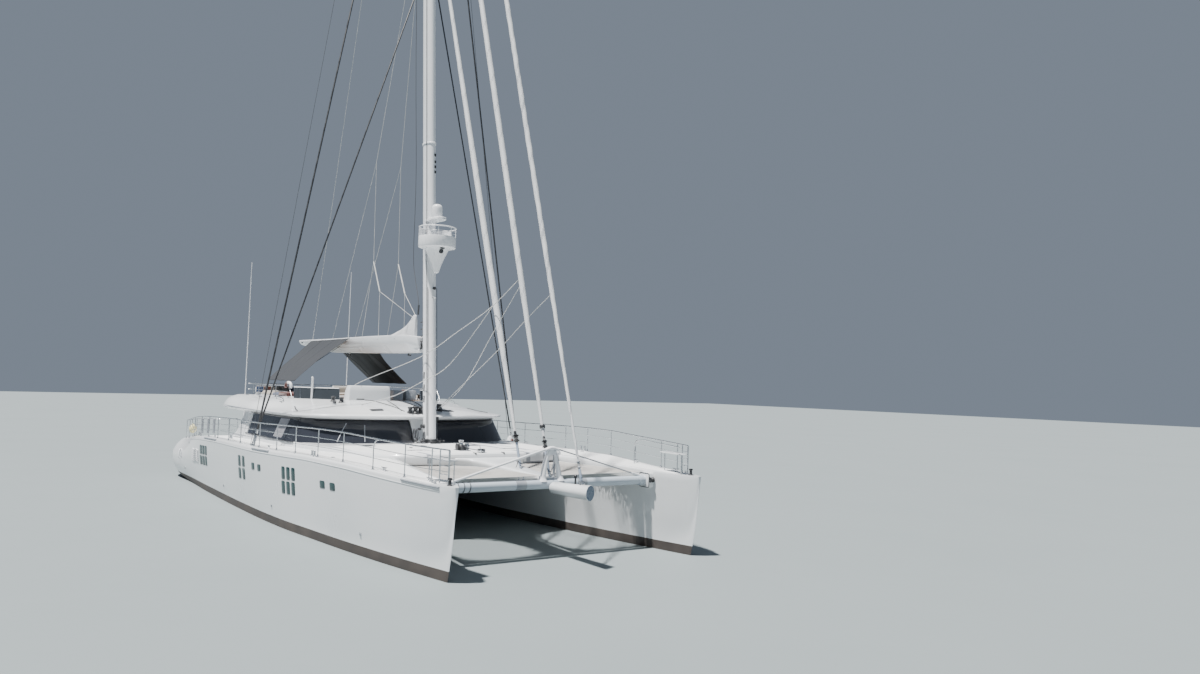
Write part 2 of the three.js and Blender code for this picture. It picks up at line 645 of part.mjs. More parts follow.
// Furled headsails: foot x and z, head height, drum's start and radius, radii low, middle and high
const FORESTAYS = [
  { name: 'inner', foot: [13490, 2880], head: 30100, drum: [1000, 130], radii: [95, 125, 60] },
  { name: 'middle', foot: [15500, 2800], head: 42200, drum: [1000, 110], radii: [95, 115, 60] },
  { name: 'outer', foot: [17520, 2735], head: 50000, drum: [380, 65], radii: [75, 95, 55] },
]
function forestay({ foot, head, drum, radii }) {
  const top = mastAt(head)
  const [a, b] = [[foot[0], 0, foot[1]], [top[0] + 240, 0, head]]
  const length = Math.hypot(b[0] - a[0], b[2] - a[2])
  const [low, wide] = drum
  const [tack, belly, crown] = radii
  return spindle(a, b, [
    [0, 34], [100, 50], [low, 50], [low + 1, wide], [low + 260, wide], [low + 261, 50], [low + 430, tack],
    [length * 0.3, belly], [length * 0.93, crown], [length * 0.935, 28], [length, 28],
  ])
}
const STAY_SEATS = {
  inner: longeronBody().translate(0, 0, GAP),
  middle: join([crossbeamBody(GAP), longeronBody().translate(0, 0, GAP)]),
  outer: podBody(GAP),
}
for (const stay of FORESTAYS) {
  add(`forestay_${stay.name}`, cut(forestay(stay), [mastBody(GAP), STAY_SEATS[stay.name]]), 'sail')
}

// Shrouds: name, x of the foot, height on the mast, sideways offset there, radius
const CHAINPLATE = { y: 6550, z: 2900 }
const SHROUDS = [
  ['cap_shroud', 1850, 41450, 140, 45],
  ['lower_shroud', 1450, 25400, 250, 38],
]
for (const [name, footX, height, side, radius] of SHROUDS) {
  const stay = rod([footX, CHAINPLATE.y, CHAINPLATE.z], [mastAt(height)[0], side, height], radius, 8)
  addPair(name, cut(stay, [mastBody(GAP), ...GROWN_HULLS]), 'carbon')
}

// Boom: x, top z, bottom z, half width at the top, half width at the bottom
const BOOM_SECTIONS = [
  [4425, 7960, 7300, 330, 180],
  [3600, 8060, 7290, 620, 240],
  [-1000, 8110, 7330, 680, 260],
  [-6500, 8130, 7430, 660, 240],
  [-13300, 8240, 7990, 300, 120],
]
function boomRing([x, top, low, wide, narrow]) {
  const knee = low + (top - low) * 0.55
  return [
    [x, wide, top], [x, wide * 0.86, knee], [x, narrow, low], [x, -narrow, low], [x, -wide * 0.86, knee],
    [x, -wide, top],
  ]
}
function troughRing([x, top, low, wide, narrow]) {
  return boomRing([x, top + 30, low + 160, Math.max(wide - 70, 40), Math.max(narrow - 60, 20)])
}
function boomBody() {
  const trough = loft(BOOM_SECTIONS.slice(1, 4).map(troughRing), 'yz')
  return cut(loft(BOOM_SECTIONS.map(boomRing), 'yz'), [trough])
}
add('boom', boomBody(), 'white')

// Mainsail, flaked in the boom and rising to the mast
const SAIL_FOLD = [
  [3560, 9000], [3300, 9080], [2600, 8620], [1600, 8320], [600, 8160], [-6200, 8100], [-6200, 7640],
  [3560, 7560],
]
function sailStack() {
  const shape = new THREE.Shape(SAIL_FOLD.map(([x, z]) => new THREE.Vector2(x, z)))
  const stack = new THREE.ExtrudeGeometry(shape, { depth: 440, bevelEnabled: false })
  return stack.rotateX(Math.PI / 2).translate(0, 220, 0)
}
add('mainsail', sailStack(), 'sail')

// Awning wings, from the boom outwards: y, z, x of the fore edge, x of the aft edge
const AWNING = [
  [705, 8085, -3100, -9750],
  [1400, 7640, -4300, -9850],
  [2150, 6950, -4800, -9800],
  [2700, 6300, -4750, -9700],
  [3050, 5820, -4500, -9600],
]
const AWNING_OUT = 24
const AWNING_UP = 14
function awningWing() {
  const rings = AWNING.map(([y, z, fore, aft]) => [
    [fore, y, z], [aft, y, z], [aft, y + AWNING_OUT, z + AWNING_UP], [fore, y + AWNING_OUT, z + AWNING_UP],
  ])
  return loft(rings, 'xz')
}
addPair('awning', awningWing(), 'fabric')

// Rails: x and y of the deck edge line on the port side, with the deck height there
const RAIL_LINE = [
  [17350, 4770, 2890], [15200, 5280, 2935], [13200, 5560, 2995], [11100, 5850, 3070], [9000, 6070, 3080],
  [6900, 6270, 3050], [4800, 6400, 3020], [2700, 6540, 2980], [-300, 6590, 2950], [-2500, 6600, 2930],
  [-4700, 6600, 2880], [-6900, 6560, 2820], [-9100, 6480, 2720], [-11300, 6380, 2580], [-13200, 6280, 2380],
  [-14700, 6150, 2260], [-15300, 5500, 2300], [-15300, 4300, 2300], [-14600, 3850, 2330], [-13200, 3700, 2420],
]
function rail() {
  const path = RAIL_LINE.map(([x, y, z]) => [x, y, z + RAIL_HEIGHT])
  const posts = path.map(([x, y, z]) => rod([x, y, z - RAIL_HEIGHT - 60], [x, y, z], RAIL_R * 0.9, 6))
  return cut(join([sweep(path, RAIL_R, 3), ...posts]), [grownHull])
}
addPair('rail', rail(), 'steel')

// Underwater gear
const SHAFT = { tail: [-11900, HULL_CENTRE_Y, SHAFT_Z], nose: [-7200, HULL_CENTRE_Y, -720] }
const SHAFT_RUN = new THREE.Vector3(...SHAFT.nose).sub(new THREE.Vector3(...SHAFT.tail)).normalize()
function alongShaft(mm) {
  return new THREE.Vector3(...SHAFT.tail).addScaledVector(SHAFT_RUN, mm).toArray()
}
function shaftAndBracket() {
  const strutTop = alongShaft(560)
  const strut = box(strutTop[0] - 130, strutTop[0] + 130, HULL_CENTRE_Y - 32, HULL_CENTRE_Y + 32, SHAFT_Z, -300)
  const tube = rod(alongShaft(170), SHAFT.nose, 45, 12)
  const bearing = rod(alongShaft(380), alongShaft(760), 95, 14)
  return cut(join([tube, bearing, strut]), [grownHull])
}
addPair('shaft', shaftAndBracket(), 'bronze')
const PROPELLER_R = 440
function propeller() {
  const hub = rod([-90, 0, 0], [150, 0, 0], 75, 14)
  const nose = rod([-90, 0, 0], [-210, 0, 0], 74, 14, 20)
  const blades = [0, 1, 2, 3].map((k) => {
    const blade = new THREE.CylinderGeometry(150, 150, 34, 14).scale(1, 1, 1.35).translate(0, 0, 250)
    return blade.rotateZ(0.9).rotateX((k * Math.PI) / 2)
  })
  const disc = new THREE.CylinderGeometry(PROPELLER_R, PROPELLER_R, 600, 36).rotateZ(Math.PI / 2)
  const turn = new THREE.Quaternion().setFromUnitVectors(new THREE.Vector3(1, 0, 0), SHAFT_RUN)
  const whole = overlap(join([hub, nose, ...blades]), disc)
  return whole.applyQuaternion(turn).translate(...SHAFT.tail)
}
addPair('propeller', propeller(), 'bronze')
// Rudders: z, leading edge ahead of the stock, trailing edge behind it, half thickness
const RUDDER_LEVELS = [[-430, 320, 640, 62], [-1300, 290, 600, 54], [-2000, 220, 430, 38]]
function rudder() {
  const foil = [[0, 0], [0.06, 0.6], [0.25, 1], [0.5, 0.9], [0.8, 0.45], [1, 0.08]]
  const rings = RUDDER_LEVELS.map(([z, lead, trail, half]) => {
    const at = (t, w) => [RUDDER_X + lead - t * (lead + trail), HULL_CENTRE_Y + w * half, z]
    return [...foil.map(([t, w]) => at(t, w)), ...foil.slice(1).reverse().map(([t, w]) => at(t, -w))]
  })
  const stock = rod([RUDDER_X, HULL_CENTRE_Y, -500], [RUDDER_X, HULL_CENTRE_Y, -60], 50, 14)
  return cut(join([loft(rings, 'xy'), stock]), [hullGeometry(24)])
}
addPair('rudder', rudder(), 'antifouling')

// Aft platform between the sterns, on two vertical guides
const PLATFORM = { fore: -12420, aft: -14500, half: 2700, low: 640, high: 760 }
add('aft_platform', join([
  box(PLATFORM.aft, PLATFORM.fore, -PLATFORM.half, PLATFORM.half, PLATFORM.low, PLATFORM.high),
  box(PLATFORM.fore - 90, PLATFORM.fore, 1540, 1860, PLATFORM.low, 1650),
  box(PLATFORM.fore - 90, PLATFORM.fore, -1860, -1540, PLATFORM.low, 1650),
]), 'teak')

// Foredeck locker lids, hinged on their aft edge
function lockerLid() {
  const { x, y, halfLength, halfWidth } = LOCKER
  return box(x - halfLength + 12, x + halfLength - 12, y - halfWidth + 12, y + halfWidth - 12, 3180, 3225)
}
addPair('locker_lid', lockerLid(), 'deck')

// Whip aerials, each on a bracket at the inner corner of its stern
const WHIP = { x: -14200, y: 3100, footY: 3460, bracketZ: 2180, topZ: 12900 }
function whipAerial() {
  const { x, y, footY, bracketZ, topZ } = WHIP
  const foot = rod([x, footY, 1800], [x, footY, bracketZ + 30], 38, 8)
  const arm = rod([x, footY, bracketZ], [x, y, bracketZ], 30, 8)
  const socket = rod([x, y, bracketZ - 60], [x, y, 4200], 38, 8)
  return cut(join([foot, arm, socket, rod([x, y, 4150], [x, y, topZ], 30, 8, 18)]), [grownHull])
}
addPair('whip_aerial', whipAerial(), 'white')

boat.scale.setScalar(MODEL_SCALE)
export default boat
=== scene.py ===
"""Looks of the sailing catamaran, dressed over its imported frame."""
from math import atan2, copysign, cos, degrees, hypot, pi, radians, sin, sqrt

import bmesh
import bpy
from mathutils import Matrix, Vector
from mathutils.bvhtree import BVHTree


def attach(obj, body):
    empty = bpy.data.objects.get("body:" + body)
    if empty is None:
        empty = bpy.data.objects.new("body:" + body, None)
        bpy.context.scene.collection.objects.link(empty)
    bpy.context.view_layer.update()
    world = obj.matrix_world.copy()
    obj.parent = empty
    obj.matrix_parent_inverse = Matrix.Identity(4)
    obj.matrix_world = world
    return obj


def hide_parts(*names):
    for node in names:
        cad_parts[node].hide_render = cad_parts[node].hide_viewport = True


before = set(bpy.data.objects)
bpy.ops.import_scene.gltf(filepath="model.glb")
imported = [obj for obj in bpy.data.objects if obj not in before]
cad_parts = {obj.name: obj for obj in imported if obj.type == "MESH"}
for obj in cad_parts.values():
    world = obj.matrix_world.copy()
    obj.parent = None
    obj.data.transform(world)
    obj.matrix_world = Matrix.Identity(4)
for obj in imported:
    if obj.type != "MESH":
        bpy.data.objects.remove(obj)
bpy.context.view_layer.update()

# Numbers are in real metres where nothing else is said; the model is half of the real size
REAL = 0.5
HULL_MIDDLE = 4.8
BOOT_TOP = 0.34
FLOOR_LEVEL = 1.95
RAIL_HEIGHT = 1.03
MAST_FOOT = Vector((5.5, 0, 3.18))
MAST_RAKE = -0.095
FLYBRIDGE = 4.982
HELM = 5.35
FLYBRIDGE_RAIL = 5.587
SIDES = ((1, "port"), (-1, "starboard"))

# Camera's place and the floor's half size in model metres, angles of the camera in radians, and the light
CAMERA_PLACE = (21.055, -8.413, 3.0)
CAMERA_YAW, CAMERA_PITCH, CAMERA_ROLL = 2.52601781, 0.05513425, 0.02958468
CAMERA_LENS = 26.71
SKY, SKY_STRENGTH = (0.62, 0.74, 0.92, 1), 0.32
SUN_COLOUR, SUN_ENERGY, SUN_SPREAD = (1.0, 0.975, 0.94), 11.0, 2.5
SUN_TOWARD = (-0.02, -0.34, 1)
FLOOR_SIZE = 120


# Easy curves through the rows of a table
def rate(rows, k, column):
    return (rows[k + 1][column] - rows[k][column]) / (rows[k + 1][0] - rows[k][0])


def eased(one, other):
    return 2 * one * other / (one + other) if one * other > 0 else 0


def row_at(rows, x):
    last = len(rows) - 2
    k = next((k for k in range(last) if x <= rows[k + 1][0]), last)
    reach = rows[k + 1][0] - rows[k][0]
    t = min(max((x - rows[k][0]) / reach, 0), 1)
    found = [x]
    for column in range(1, len(rows[k])):
        here = rate(rows, k, column)
        start = eased(rate(rows, k - 1, column), here) if k > 0 else here
        end = eased(here, rate(rows, k + 1, column)) if k < last else here
        a, b = rows[k][column], rows[k + 1][column]
        found.append(
            a * (1 + 2 * t) * (1 - t) ** 2 + b * t * t * (3 - 2 * t)
            + reach * (start * t * (1 - t) ** 2 - end * t * t * (1 - t))
        )
    return found


def rows_between(rows, steps):
    found = []
    for one, other in zip(rows, rows[1:]):
        found += [row_at(rows, one[0] + (other[0] - one[0]) * i / steps) for i in range(steps)]
    return found + [list(rows[-1])]


def curve_through(points, steps, closed=False):
    """Points on a smooth line through the given ones."""
    points = [Vector(p) for p in points]
    count = len(points)
    found = []
    for i in range(count if closed else count - 1):
        if closed:
            a, b, c, d = (points[(i + k) % count] for k in (-1, 0, 1, 2))
        else:
            a, b, c, d = (points[min(max(i + k, 0), count - 1)] for k in (-1, 0, 1, 2))
        for k in range(steps):
            t = k / steps
            found.append(0.5 * (
                2 * b + (c - a) * t + (2 * a - 5 * b + 4 * c - d) * t * t
                + (3 * b - a - 3 * c + d) * t ** 3
            ))
    return found if closed else found + [points[-1]]


def aimed(base, toward, side=(0, 0, 1)):
    """Turns a shape made along Z so that it stands at base and points towards another point."""
    base = Vector(base)
    along = (Vector(toward) - base).normalized()
    across = Vector(side).cross(along)
    if across.length < 1e-4:
        across = along.orthogonal()
    across.normalize()
    turn = Matrix((across, along.cross(across), along)).transposed().to_4x4()
    return Matrix.Translation(base) @ turn


def at(x, y, z, turn=0):
    return Matrix.Translation((x, y, z)) @ Matrix.Rotation(radians(turn), 4, "Z")


def lying(x, y, z, quarter=1):
    """Turns a shape made along Z so that it lies along Y."""
    return Matrix.Translation((x, y, z)) @ Matrix.Rotation(quarter * pi / 2, 4, "X")


def upward(z):
    return Vector((0, 0, z))


def placed(name, data):
    """A new object in the scene."""
    thing = bpy.data.objects.new(name, data)
    bpy.context.scene.collection.objects.link(thing)
    return thing


# Shapes that make up the pieces
def hoop(shape, points, closed=True):
    verts = [shape.verts.new(p) for p in points]
    ends = verts[1:] + verts[:1] if closed else verts[1:]
    return [shape.edges.new(pair) for pair in zip(verts, ends)]


def skin(rings, caps=True, closed=True, loop=False):
    """A skin over ribs, each rib a ring of points."""
    shape = bmesh.new()
    loops = [hoop(shape, ring, closed) for ring in rings]
    pairs = list(zip(loops, loops[1:] + loops[:1] if loop else loops[1:]))
    for one, other in pairs:
        bmesh.ops.bridge_loops(shape, edges=one + other)
    if caps and not loop:
        for end in (loops[0], loops[-1]):
            bmesh.ops.contextual_create(shape, geom=end)
    bmesh.ops.recalc_face_normals(shape, faces=shape.faces)
    return shape


def circle(radius, sides):
    turns = [2 * pi * k / sides for k in range(sides)]
    return [(radius * cos(a), radius * sin(a)) for a in turns]


def tube(points, radius, sides, loop=False, flat=1):
    """A round bar along a line; radius may be one number or one for each point."""
    points = [Vector(p) for p in points]
    radii = [radius] * len(points) if isinstance(radius, (int, float)) else radius
    rings, across = [], None
    for i, point in enumerate(points):
        before = points[i - 1] if i or loop else point
        after = points[(i + 1) % len(points)] if i + 1 < len(points) or loop else point
        along = ((point - before).normalized() + (after - point).normalized()).normalized()
        across = along.orthogonal() if across is None else across - along * across.dot(along)
        across.normalize()
        up = along.cross(across)
        rings.append([point + across * (u * radii[i]) + up * (v * radii[i] * flat)
                      for u, v in circle(1, sides)])
    return skin(rings, loop=loop)


def turned(outline, sides):
    """A turned shape about Z from rows of radius and height."""
    shape = bmesh.new()
    line = hoop(shape, [(radius, 0, height) for radius, height in outline], closed=False)
    bmesh.ops.spin(
        shape, geom=shape.verts[:] + line, cent=(0, 0, 0), axis=(0, 0, 1), angle=2 * pi,
        steps=sides, use_merge=True, use_duplicate=False,
    )
    bmesh.ops.remove_doubles(shape, verts=shape.verts, dist=1e-5)
    bmesh.ops.recalc_face_normals(shape, faces=shape.faces)
    return shape


def drum_of(radius, low, high):
    """Outline of a plain drum to be turned."""
    return [(0, low), (radius, low), (radius, high), (0, high)]


def block(low, high, edge):
    """A bar or box with rounded edges between two corners."""
    low, high = Vector(low), Vector(high)
    shape = bmesh.new()
    size = high - low
    place = Matrix.Translation((low + high) / 2) @ Matrix.Diagonal((*size, 1))
    bmesh.ops.create_cube(shape, size=1, matrix=place)
    bmesh.ops.bevel(
        shape, geom=shape.edges[:], offset=min(edge, 0.45 * min(size)), offset_type="OFFSET",
        segments=2, profile=0.5, affect="EDGES", material=-1, clamp_overlap=True,
    )
    return shape


def oblong(x0, y0, x1, y1):
    return [(x0, y0), (x1, y0), (x1, y1), (x0, y1)]


def plate(outline, thick, edge, corner=0):
    """A flat plate in X and Y with its top at zero, its corners and top edge rounded."""
    shape = bmesh.new()
    hoop(shape, [(x, y, 0) for x, y in outline])
    if corner:
        bmesh.ops.bevel(
            shape, geom=shape.verts[:], offset=corner, offset_type="OFFSET", segments=5, profile=0.5,
            affect="VERTICES", material=-1, clamp_overlap=True,
        )
    top = bmesh.ops.contextual_create(shape, geom=shape.edges[:])["faces"]
    walls = bmesh.ops.extrude_face_region(shape, geom=top)["geom"]
    moved = [v for v in walls if isinstance(v, bmesh.types.BMVert)]
    bmesh.ops.translate(shape, vec=(0, 0, -thick), verts=moved)
    bmesh.ops.recalc_face_normals(shape, faces=shape.faces)
    rim = [e for e in shape.edges if all(abs(v.co.z) < 1e-6 for v in e.verts)]
    bmesh.ops.bevel(
        shape, geom=rim, offset=edge, offset_type="OFFSET", segments=2, profile=0.5,
        affect="EDGES", material=-1, clamp_overlap=True,
    )
    return shape


def stamp(into, shape, place=Matrix(), finish=0):
    """Adds a shape to a piece in the piece's finish of that number, or in the shape's own ones for none."""
    mesh = bpy.data.meshes.new("stamp")
    shape.to_mesh(mesh)
    mesh.transform(place)
    known = len(into.faces)
    into.from_mesh(mesh)
    bpy.data.meshes.remove(mesh)
    into.faces.ensure_lookup_table()
    if finish is not None:
        for face in into.faces[known:]:
            face.material_index = finish
    shape.free()


def bar(into, points, radius, sides=8, place=Matrix(), finish=0, loop=False, flat=1):
    stamp(into, tube(points, radius, sides, loop, flat), place, finish)


def lathe(into, outline, sides, place=Matrix(), finish=0):
    stamp(into, turned(outline, sides), place, finish)


def box(into, low, high, edge, finish=0):
    stamp(into, block(low, high, edge), finish=finish)


def sheet_of(rows, thickness):
    """A thin sheet over rows of points, both faces and its edge closed."""
    shape = skin(rows, caps=False, closed=False)
    bmesh.ops.solidify(shape, geom=shape.faces[:], thickness=thickness)
    bmesh.ops.recalc_face_normals(shape, faces=shape.faces)
    return shape


def piece(name, shape, finishes, slot, body="yacht", nodes=(), crease=38):
    """Makes the finished piece in model metres, on its body."""
    bmesh.ops.scale(shape, vec=(REAL, REAL, REAL), verts=shape.verts)
    mesh = bpy.data.meshes.new(name)
    shape.to_mesh(mesh)
    shape.free()
    for finish in finishes:
        mesh.materials.append(finish)
    mesh.shade_smooth()
    mesh.set_sharp_from_angle(angle=radians(crease))
    thing = placed(name, mesh)
    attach(thing, body)
    if nodes:
        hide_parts(*nodes)
    return thing


def dressed(node, shape, finishes, slot, **rest):
    """The piece that stands for one node of the frame."""
    return piece(f"{node}_dressed", shape, finishes, slot, nodes=[node], **rest)


# Shader groups shared by the finishes
def group(name, inputs, outputs):
    tree = bpy.data.node_groups.new(name, "ShaderNodeTree")
    for label, value in inputs:
        socket = tree.interface.new_socket(name=label, in_out="INPUT", socket_type="NodeSocketFloat")
        socket.default_value = value
    for label in outputs:
        tree.interface.new_socket(name=label, in_out="OUTPUT", socket_type="NodeSocketFloat")
    return tree, tree.nodes.new("NodeGroupInput"), tree.nodes.new("NodeGroupOutput")


def node(tree, kind, links=(), **values):
    made = tree.nodes.new(kind)
    for key, value in values.items():
        if hasattr(made, key):
            setattr(made, key, value)
        else:
            made.inputs[key.replace("_", " ")].default_value = value
    for socket, source in dict(links).items():
        tree.links.new(source, made.inputs[socket])
    return made


def clouding_group():
    """Soft clouds and fine specks over a surface."""
    tree, inlet, outlet = group("clouding", [("Clouds", 3.0), ("Specks", 60.0)], ["Mask", "Height"])
    place = node(tree, "ShaderNodeTexCoord").outputs["Object"]
    clouds = node(tree, "ShaderNodeTexNoise", {"Vector": place, "Scale": inlet.outputs[0]}, Detail=5.0)
    specks = node(tree, "ShaderNodeTexNoise", {"Vector": place, "Scale": inlet.outputs[1]}, Detail=3.0)
    spread = node(tree, "ShaderNodeMapRange", {0: clouds.outputs["Fac"]}, From_Min=0.32, From_Max=0.68)
    tree.links.new(spread.outputs["Result"], outlet.inputs["Mask"])
    tree.links.new(specks.outputs["Fac"], outlet.inputs["Height"])
    return tree


def weave_group():
    """Square threads over and under each other."""
    tree, inlet, outlet = group("weave", [("Threads", 300.0)], ["Mask", "Height"])
    place = node(tree, "ShaderNodeTexCoord").outputs["Object"]
    cells = node(
        tree, "ShaderNodeTexVoronoi", {"Vector": place, "Scale": inlet.outputs[0]},
        distance="CHEBYCHEV", Randomness=0.06,
    )
    thread = node(tree, "ShaderNodeMapRange", {0: cells.outputs["Distance"]}, From_Min=0.15, From_Max=0.5)
    tree.links.new(thread.outputs["Result"], outlet.inputs["Mask"])
    tree.links.new(cells.outputs["Distance"], outlet.inputs["Height"])
    return tree


def strands_group():
    """Strands laid round a rope or wire."""
    tree, inlet, outlet = group("strands", [("Turns", 40.0)], ["Mask", "Height"])
    place = node(tree, "ShaderNodeTexCoord").outputs["Object"]
    wave = node(
        tree, "ShaderNodeTexWave", {"Vector": place, "Scale": inlet.outputs[0]},
        bands_direction="DIAGONAL", Distortion=0.6, Detail=1.0,
    )
    tree.links.new(wave.outputs["Fac"], outlet.inputs["Mask"])
    tree.links.new(wave.outputs["Fac"], outlet.inputs["Height"])
    return tree


def planks_group():
    """Caulked planks with grain along X."""
    tree, inlet, outlet = group("planks", [("Planks", 22.0)], ["Seam", "Grain"])
    place = node(tree, "ShaderNodeTexCoord").outputs["Object"]
    bricks = node(
        tree, "ShaderNodeTexBrick", {"Vector": place, "Scale": inlet.outputs[0]},
        Mortar_Size=0.045, Mortar_Smooth=0.2, Brick_Width=30.0, Row_Height=1.0,
    )
    stretch = node(tree, "ShaderNodeMapping", {"Vector": place}, Scale=(3.0, 90.0, 90.0))
    grain = node(tree, "ShaderNodeTexNoise", {"Vector": stretch.outputs["Vector"]}, Scale=1.0, Detail=6.0)
    tree.links.new(bricks.outputs["Fac"], outlet.inputs["Seam"])
    tree.links.new(grain.outputs["Fac"], outlet.inputs["Grain"])
    return tree


CLOUDING, WEAVE, STRANDS, PLANKS = clouding_group(), weave_group(), strands_group(), planks_group()


def blank(name, sockets):
    material = bpy.data.materials.new(name)
    material.use_nodes = True
    tree = material.node_tree
    shader = tree.nodes["Principled BSDF"]
    for socket, value in sockets.items():
        shader.inputs[socket.replace("_", " ")].default_value = value
    return material, tree, shader


def two_tones(tree, mask, colour, other):
    mix = node(tree, "ShaderNodeMix", {"Factor": mask}, data_type="RGBA")
    for socket in mix.inputs:
        if socket.type == "RGBA":
            socket.default_value = (*(colour if socket.name == "A" else other), 1)
    return next(s for s in mix.outputs if s.type == "RGBA")


def finish(name, colour, other, rough, clouds, specks, bump, depth, pattern=None, turns=0.0, holes=False,
           **sockets):
    """A finish of two close tones, a spread of roughness, and bumps from specks or a pattern."""
    material, tree, shader = blank(name, sockets)
    cloud = node(tree, "ShaderNodeGroup", node_tree=CLOUDING)
    cloud.inputs["Clouds"].default_value = clouds
    cloud.inputs["Specks"].default_value = specks
    mask, height = cloud.outputs["Mask"], cloud.outputs["Height"]
    colours = two_tones(tree, mask, colour, other)
    if pattern:
        threads = node(tree, "ShaderNodeGroup", node_tree=pattern)
        threads.inputs[0].default_value = turns
        height = threads.outputs[1]
        shade = node(tree, "ShaderNodeMapRange", {0: threads.outputs[0]}, From_Min=0.0, From_Max=1.0,
                     To_Min=1.0, To_Max=0.72)
        darker = node(tree, "ShaderNodeVectorMath", {0: colours}, operation="SCALE")
        tree.links.new(shade.outputs["Result"], darker.inputs["Scale"])
        colours = darker.outputs["Vector"]
        if holes:
            rays = node(tree, "ShaderNodeLightPath")
            cords = node(tree, "ShaderNodeMath", {0: rays.outputs["Is Shadow Ray"], 2: threads.outputs[0]})
            cords.operation = "MULTIPLY_ADD"
            cords.inputs[1].default_value = -0.4
            open_mesh = node(tree, "ShaderNodeMapRange", {0: cords.outputs["Value"]}, From_Min=0.4,
                             From_Max=0.48)
            tree.links.new(open_mesh.outputs["Result"], shader.inputs["Alpha"])
    tree.links.new(colours, shader.inputs["Base Color"])
    spread = node(tree, "ShaderNodeMapRange", {0: mask}, To_Min=rough[0], To_Max=rough[1])
    tree.links.new(spread.outputs["Result"], shader.inputs["Roughness"])
    bumps = node(tree, "ShaderNodeBump", {"Height": height}, Strength=bump, Distance=depth)
    tree.links.new(bumps.outputs["Normal"], shader.inputs["Normal"])
    return material


def cushion_cloth(name, colour, other, sheen=0.25):
    return finish(name, colour, other, (0.7, 0.9), 1.5, 60, 0.35, 0.001, WEAVE, 380.0, Sheen_Weight=sheen)


def laid_rope(name, colour, other):
    return finish(name, colour, other, (0.6, 0.8), 4.0, 60, 0.6, 0.002, STRANDS, 60.0)


def sail_cloth(name, colour, other, rough):
    return finish(name, colour, other, rough, 1.6, 60, 0.3, 0.002, WEAVE, 900.0, Sheen_Weight=0.15)


GEL = finish(
    "gel_white", (0.74, 0.76, 0.775), (0.69, 0.715, 0.735), (0.16, 0.3), 0.5, 240, 0.03, 0.001,
    Coat_Weight=0.4,
)
DECK = finish("deck_grip", (0.80, 0.81, 0.81), (0.72, 0.74, 0.75), (0.5, 0.66), 0.9, 420, 0.35, 0.002)
PAINT = finish(
    "mast_paint", (0.82, 0.83, 0.85), (0.76, 0.78, 0.81), (0.2, 0.32), 0.6, 300, 0.04, 0.001,
    Coat_Weight=0.3,
)
BOTTOM = finish("bottom_paint", (0.045, 0.036, 0.033), (0.085, 0.07, 0.062), (0.6, 0.85), 2.2, 90, 0.3, 0.003)
STEEL = finish(
    "steel", (0.62, 0.64, 0.66), (0.5, 0.52, 0.55), (0.16, 0.34), 6.0, 900, 0.05, 0.0005, Metallic=1.0,
)
BLACK = finish(
    "black_fittings", (0.018, 0.019, 0.022), (0.04, 0.042, 0.046), (0.3, 0.5), 9.0, 500, 0.1, 0.001,
)
RUBBER = finish("rubber", (0.03, 0.03, 0.032), (0.055, 0.055, 0.058), (0.65, 0.8), 8.0, 300, 0.15, 0.001)
GREY = finish("grey_trim", (0.23, 0.25, 0.28), (0.3, 0.32, 0.35), (0.35, 0.5), 4.0, 300, 0.08, 0.001)
BRONZE = finish(
    "bronze", (0.42, 0.22, 0.09), (0.2, 0.13, 0.07), (0.25, 0.5), 9.0, 260, 0.12, 0.001, Metallic=1.0,
)
TEAK = finish("teak", (0.36, 0.22, 0.12), (0.27, 0.165, 0.09), (0.5, 0.7), 3.0, 60, 0.25, 0.001, PLANKS, 22.0)
SAIL = sail_cloth("sailcloth", (0.78, 0.79, 0.80), (0.68, 0.7, 0.73), (0.55, 0.75))
PALE_BLUE = finish("pale_sleeve", (0.36, 0.42, 0.52), (0.3, 0.36, 0.46), (0.4, 0.6), 4.0, 300, 0.1, 0.001)
# Grey on the furled sails: painted shade along the edge of each wrap, and grey patches on the loose outer
# sail
WRAP_SHADE_AND_PATCHES = sail_cloth("wrap_shade_and_patches", (0.52, 0.54, 0.57), (0.44, 0.46, 0.5), (0.6, 0.8))
SHADE = finish(
    "shade_cloth", (0.032, 0.036, 0.044), (0.026, 0.03, 0.037), (0.6, 0.8), 0.9, 60, 0.4, 0.002, WEAVE,
    420.0,
)
NET = finish(
    "net_cord", (0.5, 0.485, 0.46), (0.43, 0.415, 0.395), (0.6, 0.8), 0.8, 60, 0.9, 0.006, WEAVE, 46.0,
    holes=True,
)
WHITE_ROPE = laid_rope("white_rope", (0.72, 0.72, 0.7), (0.55, 0.56, 0.56))
DARK_ROPE = laid_rope("dark_rope", (0.05, 0.055, 0.065), (0.1, 0.105, 0.115))
SAND = cushion_cloth("cushion_sand", (0.52, 0.48, 0.42), (0.44, 0.405, 0.36))
BLUE = cushion_cloth("cushion_blue", (0.03, 0.06, 0.14), (0.04, 0.075, 0.17), 0.3)
RED = cushion_cloth("cushion_red", (0.13, 0.035, 0.026), (0.095, 0.026, 0.02), 0.3)
SILVER = cushion_cloth("cushion_silver", (0.36, 0.38, 0.39), (0.3, 0.32, 0.33))
PIPING = finish("cushion_piping", (0.36, 0.335, 0.3), (0.29, 0.27, 0.24), (0.7, 0.85), 2.0, 60, 0.3, 0.001)
BUOY = finish("buoy_skin", (0.78, 0.72, 0.42), (0.7, 0.62, 0.33), (0.4, 0.6), 3.0, 200, 0.1, 0.001)
BAY = finish(
    "clear_bay", (0.2, 0.2, 0.225), (0.25, 0.25, 0.27), (0.06, 0.12), 0.8, 8, 0.02, 0.001, Coat_Weight=0.3,
)
GLASS = finish(
    "dark_glass", (0.016, 0.018, 0.024), (0.024, 0.027, 0.036), (0.04, 0.08), 0.4, 8, 0.03, 0.002,
    Specular_IOR_Level=0.5,
)
